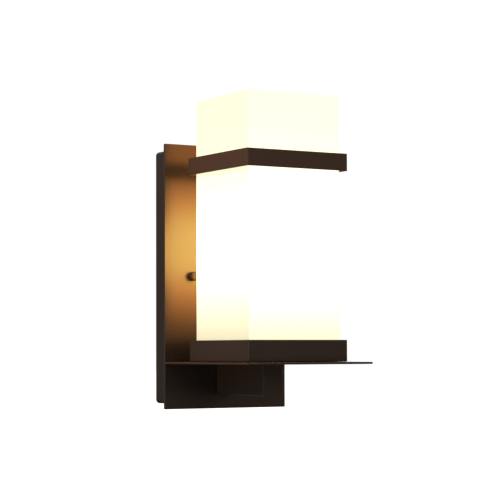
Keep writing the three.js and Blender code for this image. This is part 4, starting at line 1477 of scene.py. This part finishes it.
@dataclass
class ShelfAndArm:
    """The thin shelf and the hollow arm under it."""

    fasteners: Fasteners
    edge: float = 0.45 * MM
    shelf_corner: float = 1 * MM
    tab_width: float = 20 * MM
    tab_root: float = 0.3 * MM
    arm_bend: float = 1.6 * MM
    arm_end: float = 2 * MM
    arm_end_edge: float = 0.9 * MM
    seam: Flat = (0.25 * MM, 0.5 * MM)
    bushing_bore: float = 3.1 * MM
    bushing_barrel: float = 4 * MM
    bushing_flange: float = 1.2 * MM
    bushing_edge: float = 0.5 * MM

    def build(self) -> None:
        """Builds shelf, arm, arm screws and bushing."""
        self.shelf()
        self.arm()
        screws = ["arm_screw_upper", "arm_screw_lower"]
        self.fasteners.screws("arm_screws", screws, FROM_WALL, Screw.PAN_HEAD)
        self.bushing()

    def shelf(self) -> None:
        """The shelf with its rear tabs, drain holes and the hole for the nipple."""
        box, plate, lamp = Box.of("shelf"), Box.of("backplate"), Box.of("nipple").centre
        front, rear, tip = box.low.y, plate.low.y - self.tab_root, box.high.y
        half, tab = box.size.x / 2, self.tab_width / 2
        corners = [(-half, rear), (-half, front), (half, front), (half, rear)]
        outline = [corners[0], *rounded(corners, self.shelf_corner, 6)[1:-1], corners[-1]]
        for x in (TAB_REACH, -TAB_REACH):
            outline += [(x + tab, rear), (x + tab, tip), (x - tab, tip), (x - tab, rear)]
        mesh = sheet(outline, drained((0, lamp.y)), box.size.z, self.edge)
        show("shelf_sheet", moved(mesh, (0, 0, box.low.z)), BRONZE, "shelf")

    def arm(self) -> None:
        """The folded arm, with the seam where its edges meet along the underside."""
        box = Box.of("arm")
        (seam, deep), low, end = self.seam, -box.size.z / 2, self.arm_end
        outline = rounded_rectangle(box.size.x, box.size.z, self.arm_bend, steps=6)
        notch = [(-seam, low), (-seam * 0.5, low + deep), (seam * 0.5, low + deep), (seam, low)]
        length = box.size.y
        loops = []
        for inset, z in rounded([(end, 0), (0, 0), (0, length), (end, length)], self.arm_end_edge, 5):
            fit = [1 - 2 * inset / box.size.x, 1 - 2 * inset / box.size.z]
            loops.append(raised(((x * fit[0], y * fit[1]) for x, y in [*outline, *notch]), z))
        box.hang("folded_arm", skin(loops), BRONZE_ARM_TONED_FOR_LIGHT)

    def bushing(self) -> None:
        """The snap bushing round the wires."""
        box = Box.of("wire_bushing")
        bore, barrel, thick = self.bushing_bore, self.bushing_barrel, self.bushing_flange
        flange, length = box.size.x / 2, box.size.y - thick
        section = [
            (bore, -thick), (flange, -thick), (flange, 0), (barrel, 0), (barrel, length), (bore, length),
        ]
        mesh = turned(rounded_ring(section, self.bushing_edge, 4), 48, closed=True)
        box.hang("snap_bushing", mesh, BLACK_PLASTIC, out=thick)


@dataclass
class TrayAndBand:
    """The square tray that the glass stands in, and the square band round it."""

    fasteners: Fasteners
    edge: float = 0.4 * MM
    bend: float = 2.2 * MM
    tray_wall: float = 1.5 * MM
    tray_floor: float = 1.2 * MM
    tray_foot_edge: float = 1 * MM
    tray_inner_edge: float = 0.8 * MM
    tray_brim: float = 1 * MM
    tray_brim_edge: float = 0.7 * MM
    tray_lap: Flat = (4 * MM, 0.6 * MM)
    gasket_width: float = 6.65 * MM
    gasket_rib: float = 1 * MM
    gasket_base: float = 0.62
    band_wall: float = 2.0 * MM
    weld: Flat = (0.25 * MM, 0.5 * MM)
    bumper_corner: float = 3 * MM
    spacer_bore: float = 1.8 * MM
    spacer_edge: float = 0.5 * MM

    def build(self) -> None:
        """Builds the tray, gasket, band, bumpers, spacers and their screws."""
        self.tray()
        self.gasket()
        self.band()
        self.bumpers()
        self.spacers()
        for kind, way, size in (
            ("band", TO_WALL, Screw.LOW_HEAD), ("spacer", FROM_WALL, Screw.PAN_HEAD),
        ):
            nodes = [f"{kind}_screw_{side.label}" for side in Side]
            self.fasteners.screws(f"{kind}_screws", nodes, way, size)

    def tray(self) -> None:
        """The pressed tray, with its floor's holes."""
        box = Box.of("glass_tray")
        side, height, wall = box.size.x, box.size.z, self.tray_wall
        floor, (lip, lap) = self.tray_floor, self.tray_lap
        top, under = height - 0.01 * MM, height - self.tray_brim
        outer = rounded([(lip, 0), (0, 0), (0, top)], self.tray_foot_edge, 6)
        inner = rounded([(wall, top), (wall, floor), (lip, floor)], self.tray_inner_edge, 5)
        brim = rounded([(0, under), (0, height), (wall, height), (wall, under)], self.tray_brim_edge, 5)
        walls = framed([*outer[:-1], *brim[1:-1], *inner[1:]], side, side, self.bend, 10)
        inside = side - 2 * lip + lap
        base = sheet(rounded_rectangle(inside, inside, 1 * MM), drained((0, 0)), floor - 2 * SUNK, 0.2 * MM)
        box.stand("tray", joined(walls, moved(base, (0, 0, SUNK))), BRONZE_TRAY_SHADED)

    def gasket(self) -> None:
        """The silicone gasket, with two sealing ribs under the glass."""
        box = Box.of("glass_gasket")
        height, width, half = box.size.z, self.gasket_width, self.gasket_rib
        base = height * self.gasket_base
        section = [(0, 0), (0, base)]
        for middle in (width * 0.3, width * 0.7):
            section += [(middle - half, base), (middle, height), (middle + half, base)]
        section += [(width, base), (width, 0)]
        mesh = framed(rounded_ring(section, 0.3 * MM, 3), box.size.x, box.size.y, 1.5 * MM)
        box.stand("ribbed_gasket", mesh, SILICONE, flat_above=60)

    def band(self) -> None:
        """The bent band, its ends welded at the back."""
        box = Box.of("upper_band")
        wall, height, (proud, bead) = self.band_wall, box.size.z, self.weld
        section = rounded_ring([(0, 0), (0, height), (wall, height), (wall, 0)], self.edge, 5)
        mesh = framed(section, box.size.x, box.size.y, self.bend, 10)
        ends = [Vector((0, box.size.y / 2 - proud, z)) for z in (1 * MM, height - 1 * MM)]
        box.stand("band", joined(mesh, tube(ends, bead, 12)), BRONZE)

    def bumpers(self) -> None:
        """The soft bumpers between band and glass."""
        for name, turn in (("front", 180), ("back", 360), ("left", 450), ("right", 270)):
            node = f"band_bumper_{name}"
            box = Box.of(node)
            thick, side = min(box.size.x, box.size.y), max(box.size.x, box.size.y)
            corner = self.bumper_corner
            profile = rounded([(2 * MM, 0), (0, 0), (0, thick * 0.5), (corner, thick)], 1.0 * MM, 6)
            tall, half = box.size.z, thick / 2
            loops = [rounded_box_loop(side, tall, corner, inset, z - half, 6) for inset, z in profile]
            facing = Matrix.Rotation(math.radians(turn), 4, "Z")
            mesh = moved(skin(loops), UPRIGHT, facing, box.centre)
            show(f"bumper_{name}", mesh, SILICONE, node, flat_above=60)

    def spacers(self) -> None:
        """The turned spacers that hold the band off the plate."""
        for side in Side:
            node = f"band_spacer_{side.label}"
            box = Box.of(node)
            mesh = bush(self.spacer_bore, box.size.x / 2, 0, box.size.y, self.spacer_edge, 4)
            box.hang(f"spacer_{side.label}", mesh, BRONZE)


@dataclass
class GlassShade:
    """The opal glass box, closed at the top and open at the bottom."""

    wall: float = 4 * MM
    edge: float = 3.5 * MM
    inner_share: float = 0.7
    crown: Flat = (0.3, 0.48)

    def build(self) -> None:
        """Builds the glass."""
        box = Box.of("glass_shade")
        side, height, wall, edge = box.size.x, box.size.z, self.wall, self.edge
        near, far = (side * share for share in self.crown)
        ceiling = height - wall
        outer = rounded([(wall / 2, 0), (0, 0), (0, height), (near, height), (far, height)], edge, 10)
        inner = [(far, ceiling), (near, ceiling), (wall, ceiling), (wall, 0), (wall / 2, 0)]
        profile = [*rounded(inner, edge * self.inner_share, 8), *outer]
        loops = [rounded_box_loop(side, side, edge, inset, z, 10) for inset, z in profile]
        glass = replace(OPAL, middle=box.centre.y, half_side=side / 2)
        box.stand("shade_glass", skin(loops), glass, body=Body.SHADE, flat_above=70)


@dataclass
class Lampholder:
    """The nipple with its nut, and the porcelain holder with its brass shell."""

    fasteners: Fasteners
    nipple_bore: float = 5.1 * MM
    nipple_pitch: float = 0.94 * MM
    washer_edge: float = 0.25 * MM
    foot_plate: float = 1.2 * MM
    foot_collar: float = 7 * MM
    foot_edge: float = 0.5 * MM
    shell_wall: float = 0.5 * MM
    strip: float = 0.5 * MM
    strip_bend: float = 3 * MM

    def build(self) -> None:
        """Builds the holder's pieces."""
        self.nipple()
        self.foot()
        self.porcelain()
        self.shell()
        self.contact()
        for side in Side:
            nodes = [f"lampholder_screw_{side.label}"]
            self.fasteners.screws(f"holder_screw_{side.label}", nodes, Vector((0, 0, 1)), Screw.HOLDER)

    def nipple(self) -> None:
        """The threaded nipple, its nut and its washer."""
        box, nut, washer = Box.of("nipple"), Box.of("nipple_nut"), Box.of("nipple_washer")
        rod = self.fasteners.rod(box.size.x / 2, box.size.z, self.nipple_pitch, ZINC, 48)
        box.stand("threaded_nipple", rod, ZINC)
        mesh = hexagonal(min(nut.size.x, nut.size.y), nut.size.z, self.nipple_bore)
        nut.stand("nut_under_shelf", mesh, ZINC)
        mesh = bush(self.nipple_bore, washer.size.x / 2, 0, washer.size.z, self.washer_edge, 3)
        washer.stand("washer", mesh, ZINC)

    def foot(self) -> None:
        """The pressed steel foot plate with its threaded collar."""
        box = Box.of("lampholder_foot")
        bore, radius, thick, collar, top = (
            self.nipple_bore, box.size.x / 2, self.foot_plate, self.foot_collar, box.size.z,
        )
        section = [(bore, 0), (radius, 0), (radius, thick), (collar, thick), (collar, top), (bore, top)]
        mesh = turned(rounded_ring(section, self.foot_edge, 4), 64, closed=True)
        box.stand("holder_foot", mesh, ZINC)

    def porcelain(self) -> None:
        """The glazed body: a waisted foot, a soft shoulder, a groove and a rounded mouth."""
        box = Box.of("lampholder_body")
        radius, height, cavity, floor = box.size.x / 2, box.size.z, 14.9 * MM, 16.7 * MM
        recess, deep, groove = 8.5 * MM, 8 * MM, radius * 0.955
        outside = [
            (recess, 0), (radius * 0.78, 0), (radius * 0.8, 9 * MM), (radius, 16 * MM), (radius, 33 * MM),
            (groove, 34 * MM), (groove, 36 * MM), (radius, 37 * MM), (radius, height),
            (cavity, height), (cavity, floor), (0, floor),
        ]
        mesh = turned([(0, deep), (recess, deep), *rounded(outside, 1.6 * MM, 6)], 96)
        box.stand("porcelain_body", mesh, PORCELAIN)

    def shell(self) -> None:
        """The rolled brass shell with a true thread."""
        box = Box.of("lampholder_shell")
        mesh = threaded_tube(box.size.x / 2, box.size.z, self.shell_wall)
        box.stand("brass_shell", mesh, BRASS, flat_above=75)

    def contact(self) -> None:
        """The sprung centre contact: a strip bent up to meet the bulb's tip."""
        box = Box.of("lampholder_contact")
        run, rise, strip, half = box.size.x, box.size.z - self.strip, self.strip, box.size.y / 2
        line = rounded([(0, 0), (run * 0.32, 0), (run * 0.6, rise), (run, rise)], self.strip_bend, 6)
        corners = [(-half, 0), (half, 0), (half, strip), (-half, strip)]
        loops = [[Vector((x, y, z + up)) for y, up in corners] for x, z in line]
        mesh = moved(skin(loops), (box.low.x, box.centre.y, box.low.z))
        show("contact_strip", mesh, BRASS, "lampholder_contact")


@dataclass
class Bulb:
    """The screw-in lamp."""

    ring: Rule = field(default_factory=ring_rule)
    rib_count: int = 24
    rib_half: float = 0.55 * MM
    rib_span: Flat = (0.12, 0.76)
    rib_rise: float = 0.5 * MM
    rib_root: float = 0.8 * MM
    cap_wall: float = 0.9 * MM
    neck: float = 13.4 * MM
    stem: float = 11 * MM
    steps: int = 12

    def build(self) -> None:
        """Builds the bulb from its tip up."""
        self.tip()
        self.cap()
        self.body()
        self.diffuser()

    def tip(self) -> None:
        """The contact at the tip and the black glass round it."""
        box = Box.of("bulb_contact")
        radius, height, edge = box.size.x / 2, box.size.z, 0.6 * MM
        profile = [(0, 0), (radius * 0.6, 0.1 * MM), (radius, height), (0, height)]
        mesh = turned(rounded(profile, edge, 5), 48)
        box.stand("tip_contact", mesh, NICKEL, body=Body.BULB)
        box = Box.of("bulb_insulator")
        radius, height = box.size.x / 2, box.size.z
        profile = [(0, 0), (5.2 * MM, 0), (radius, height * 0.8), (radius, height), (0, height)]
        mesh = turned(rounded(profile, edge, 4), 64)
        box.stand("tip_insulator", mesh, BLACK_PLASTIC, body=Body.BULB)

    def cap(self) -> None:
        """The nickel-plated screw cap, with a true thread."""
        box = Box.of("bulb_screw_cap")
        mesh = threaded_tube(box.size.x / 2, box.size.z, self.cap_wall)
        box.stand("screw_cap", mesh, NICKEL, body=Body.BULB, flat_above=75)

    def body(self) -> None:
        """The white body that flares from the cap to the diffuser, with cooling ribs round it."""
        box, cap = Box.of("bulb_body"), Box.of("bulb_screw_cap")
        top, start = box.size.z, cap.high.z - box.low.z + 0.3 * MM
        rise = top - start
        shares = [step / self.steps for step in range(self.steps + 1)]
        radius = box.size.x / 2
        flare = [(self.flare(share, radius), start + rise * share) for share in shares]
        profile = [(0, 0), (self.stem, 0), (self.stem, start), (self.neck * 0.97, start), *flare, (0, top)]
        blade = placed("rib", self.rib(radius, start, rise))
        ribs = self.ring.run(WHITE_PLASTIC, Piece=blade, Count=self.rib_count)
        bpy.data.objects.remove(blade)
        mesh = joined(turned(profile, 96), ribs)
        box.stand("bulb_housing", mesh, WHITE_PLASTIC, body=Body.BULB, flat_above=45)

    def flare(self, share: float, radius: float) -> float:
        """The body's radius at a share of its height."""
        return self.neck + (radius - 0.6 * MM - self.neck) * math.sin(share * math.pi / 2) ** 1.15

    def rib(self, radius: float, start: float, rise: float) -> Mesh:
        """One cooling rib, standing on the body along +X.

        Args:
            radius: The body's largest radius.
            start: The height at which the flare starts.
            rise: The flare's height.

        Returns:
            The mesh.
        """
        half, steps, (low, span), loops = self.rib_half, 8, self.rib_span, []
        for step in range(steps + 1):
            share = low + span * step / steps
            r = self.flare(share, radius)
            proud = r + (self.rib_rise * math.sin(math.pi * step / steps) ** 0.5 + 0.02 * MM)
            root = r - self.rib_root
            corners = [(root, -half), (proud, -half * 0.6), (proud, half * 0.6), (root, half)]
            loops.append(raised(corners, start + rise * share))
        return skin(loops)

    def diffuser(self) -> None:
        """The frosted shell: most of a ball, on a short step."""
        box = Box.of("bulb_diffuser")
        radius, steps = box.size.x / 2, 24
        centre = box.size.z - radius
        start = math.asin(-centre / radius)
        arc = [start + (math.pi / 2 - start) * step / steps for step in range(steps + 1)]
        ball = [(radius * math.cos(a), centre + radius * math.sin(a)) for a in arc]
        box.stand("bulb_shell", turned([(0, 0), *ball], 96), BULB_GLOW, body=Body.BULB)


@dataclass
class Wiring:
    """The leads and the terminal block in the pan."""

    fasteners: Fasteners
    nodes: dict[str, bpy.types.Object]
    poles: int = 3
    pitch: float = 10 * MM
    lead: float = 1 * MM
    lead_gap: float = 3 * MM
    bend: float = 9 * MM
    insert: float = 2.3 * MM
    insert_play: float = 0.3 * MM
    waist: float = 1.2 * MM
    block_corner: float = 0.5 * MM
    block_edge: float = 0.35 * MM
    collar: tuple[float, float, float] = (1.6 * MM, 2.8 * MM, 0.5 * MM)

    def build(self) -> None:
        """Builds the block, its screws and the leads."""
        self.block()
        for pole in range(self.poles):
            node = f"terminal_insert_{pole + 1}"
            for place in self.nodes[node].material_slots:
                place.material = BRASS.material()
            LOG.info("%s: kept, in %s", node, BRASS.name)
        self.fasteners.screws("clamp_screws", self.screw_nodes, FROM_WALL, Screw.CLAMP)
        self.leads()

    @property
    def screw_nodes(self) -> list[str]:
        """The names of the block's screws."""
        return [f"terminal_screw_{pole + 1}{row}" for pole in range(self.poles) for row in "ab"]

    def pole_x(self, pole: float) -> float:
        """Where a pole of the block is along X."""
        return (pole - (self.poles - 1) / 2) * self.pitch

    def block(self) -> None:
        """The moulded block: a waist between its poles, and a collar round each screw."""
        box = Box.of("terminal_block")
        half, low, high, pinch = box.size.x / 2, box.low.y, box.high.y, self.waist
        waist = []
        for pole in range(self.poles - 1):
            x = self.pole_x(pole + 0.5)
            deep = high - pinch
            waist += [(x - pinch, high), (x - pinch / 2, deep), (x + pinch / 2, deep), (x + pinch, high)]
        outline = [(half, low), (half, high), *[(-x, y) for x, y in waist], (-half, high), (-half, low)]
        inserts = [Box.of(f"terminal_insert_{pole + 1}").centre for pole in range(self.poles)]
        holes = [circle(self.insert + self.insert_play, (centre.x, centre.y)) for centre in inserts]
        body = sheet(rounded_ring(outline, self.block_corner, 3), holes, box.size.z, self.block_edge)
        bore, radius, deep = self.collar
        collar = bush(bore, radius, -deep, 0, 0.2 * MM, 3, 32)
        screws = [Box.of(node).centre for node in self.screw_nodes]
        seats = [Vector((centre.x, high, centre.z)) for centre in screws]
        collars = self.fasteners.copies(collar, seats, TO_WALL, NYLON)
        show("moulded_block", joined(moved(body, (0, 0, box.low.z)), collars), NYLON, "terminal_block")

    def leads(self) -> None:
        """The line, neutral and earth leads, along the same routes as the solids they stand for."""
        arm, block, nipple = Box.of("arm"), Box.of("terminal_block"), Box.of("nipple")
        insert, bend, foot = Box.of("terminal_insert_1").centre.y, self.bend, block.low.z
        middle, holder = arm.centre.z, Box.of("lampholder_body").low.z + 15 * MM
        panel, back = Box.of("wall_pan").low.y + 1.5 * MM, arm.high.y - 1.5 * MM
        for name, side, pole, finish in (("line", -1, 0, BLACK_WIRE), ("neutral", 1, 1, WHITE_WIRE)):
            x, y, end = side * self.lead_gap / 2, nipple.centre.y, self.pole_x(pole)
            self.lead_piece(name, finish, [
                (x, y, holder), (x, y, arm.high.z - 1.5 * MM), (x, y, middle + bend),
                (x, y + bend * 0.3, middle + bend * 0.3), (x, y + bend, middle), (x, back - bend, middle),
                (x, panel + 2 * MM, middle), (x, insert - 1.5 * MM, middle + 3 * MM),
                ((x + end) / 2, insert, middle + 20 * MM), (end, insert, foot - 8 * MM),
                (end, insert, foot + 7 * MM),
            ])
        box = Box.of("lead_earth")
        start, side, lift = self.pole_x(2), box.high.x - self.lead, box.low.y + self.lead
        self.lead_piece("earth", GREEN_WIRE, [
            (start, insert, foot + 7 * MM), (start, insert, foot - 5 * MM),
            (start + 3 * MM, insert, foot - 11 * MM),
            ((start + side) / 2 + 2 * MM, (insert + lift) / 2, foot - 13 * MM),
            (side - 1 * MM, lift, foot - 8 * MM), (side, lift, foot + 2 * MM), (side, lift, foot + 12 * MM),
        ])

    def lead_piece(self, name: str, finish: Finish, points: Sequence[Sequence[float]]) -> None:
        """One insulated lead along a route."""
        path = smooth_path([Vector(point) for point in points])
        show(f"{name}_lead", tube(path, self.lead), finish, f"lead_{name}")


@dataclass(frozen=True)
class Lamp:
    """A soft square light aimed at the lantern: its place, size, power and colour."""

    name: str
    place: tuple[float, float, float]
    size: float
    power: float
    colour: Colour


@dataclass
class Studio:
    """The floor, the soft light and the camera."""

    eye: tuple[float, float, float] = (-0.9061, -1.5799, -0.0724)
    look: tuple[float, float, float] = (0.5161, 0.8547, 0.0554)
    tilt: float = -0.0034
    lens: float = 129.6
    sensor: float = 36.0
    floor_drop: float = 0.17
    floor_side: float = 30.0
    floor_thickness: float = 0.02
    floor_glow: float = 0.9
    backdrop: float = 1.05
    sky: tuple[tuple[float, Colour], ...] = (
        (0.3, (0.18, 0.18, 0.18)), (0.5, (0.3, 0.3, 0.3)), (0.75, (0.52, 0.5, 0.48)),
    )
    lamps: tuple[Lamp, ...] = (
        Lamp("key", (-0.48, -0.12, 0.36), 0.22, 4.1, (1.0, 0.82, 0.66)),
        Lamp("low", (-0.9, -1.0, -0.22), 0.15, 4.4, (1.0, 0.98, 0.96)),
        Lamp("fill", (0.4, -1.8, 0.7), 1.2, 9.0, (1.0, 0.93, 0.86)),
    )

    def build(self) -> None:
        """Sets the stage."""
        self.floor()
        self.world()
        for lamp in self.lamps:
            self.light(lamp)
        self.camera()

    def floor(self) -> None:
        """A plain pale floor, well below the lantern."""
        level, side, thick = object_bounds()[0][2] - self.floor_drop, self.floor_side, self.floor_thickness
        mesh = sheet(rounded_rectangle(side, side, 1), [], thick, 1 * MM)
        floor = placed("floor", moved(mesh, (0, 0, level - thick)))
        material = PALE_FLOOR.material()
        surface = material.node_tree.nodes["Principled BSDF"]
        surface.inputs["Emission Color"].default_value = (1, 1, 1, 1)
        surface.inputs["Emission Strength"].default_value = self.floor_glow
        floor.data.materials.append(material)
        floor.visible_glossy = floor.visible_diffuse = False
        floor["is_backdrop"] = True

    def world(self) -> None:
        """A white backdrop, and softer surroundings that light the lantern, brighter above than below."""
        world = bpy.data.worlds.new("studio")
        world.use_nodes = True
        board = Board(world.node_tree)
        direction = board.make("ShaderNodeTexCoord").outputs["Generated"]
        _, _, up = board.parts(direction)
        ramp = board.make("ShaderNodeValToRGB", {"stops": self.sky}, Fac=up * 0.5 + 0.5)
        around = board.make("ShaderNodeBackground", Color=ramp.outputs[0], Strength=1.0)
        backdrop = board.make("ShaderNodeBackground", Color=(1, 1, 1), Strength=self.backdrop)
        seen = board.make("ShaderNodeLightPath").outputs["Is Camera Ray"]
        shade = board.make("ShaderNodeMixShader", i0=seen, i1=around.outputs[0], i2=backdrop.outputs[0])
        board.make("ShaderNodeOutputWorld", Surface=shade.outputs[0])
        bpy.context.scene.world = world

    @staticmethod
    def light(lamp: Lamp) -> None:
        """Hangs one light.

        Args:
            lamp: Its settings.
        """
        data = bpy.data.lights.new(lamp.name, "AREA")
        data.size, data.energy, data.color = lamp.size, lamp.power, lamp.colour
        holder = placed(lamp.name, data)
        holder.location = lamp.place
        holder.rotation_euler = (-Vector(lamp.place)).to_track_quat("-Z", "Y").to_euler()

    def camera(self) -> None:
        """The camera at the usual three-quarter view from the left."""
        data = bpy.data.cameras.new("camera")
        data.lens, data.sensor_width = self.lens, self.sensor
        holder = placed("camera", data)
        holder.location = self.eye
        facing = Vector(self.look).to_track_quat("-Z", "Y").to_matrix()
        holder.rotation_euler = (facing @ Matrix.Rotation(self.tilt, 3, "Z")).to_euler()
        bpy.context.scene.camera = holder
        bpy.context.scene.view_settings.view_transform = "Standard"


def main() -> None:
    """Loads the frame, then builds the lantern and its studio in order."""
    logging.basicConfig(level=logging.INFO, format="%(name)s: %(message)s")
    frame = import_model()
    fasteners = Fasteners()
    for assembly in (
        WallSide(fasteners), ShelfAndArm(fasteners), TrayAndBand(fasteners), GlassShade(),
        Lampholder(fasteners), Bulb(), Wiring(fasteners, frame["nodes"]), Studio(),
    ):
        LOG.info("building %s", type(assembly).__name__)
        assembly.build()


if __name__ == "__main__":
    main()
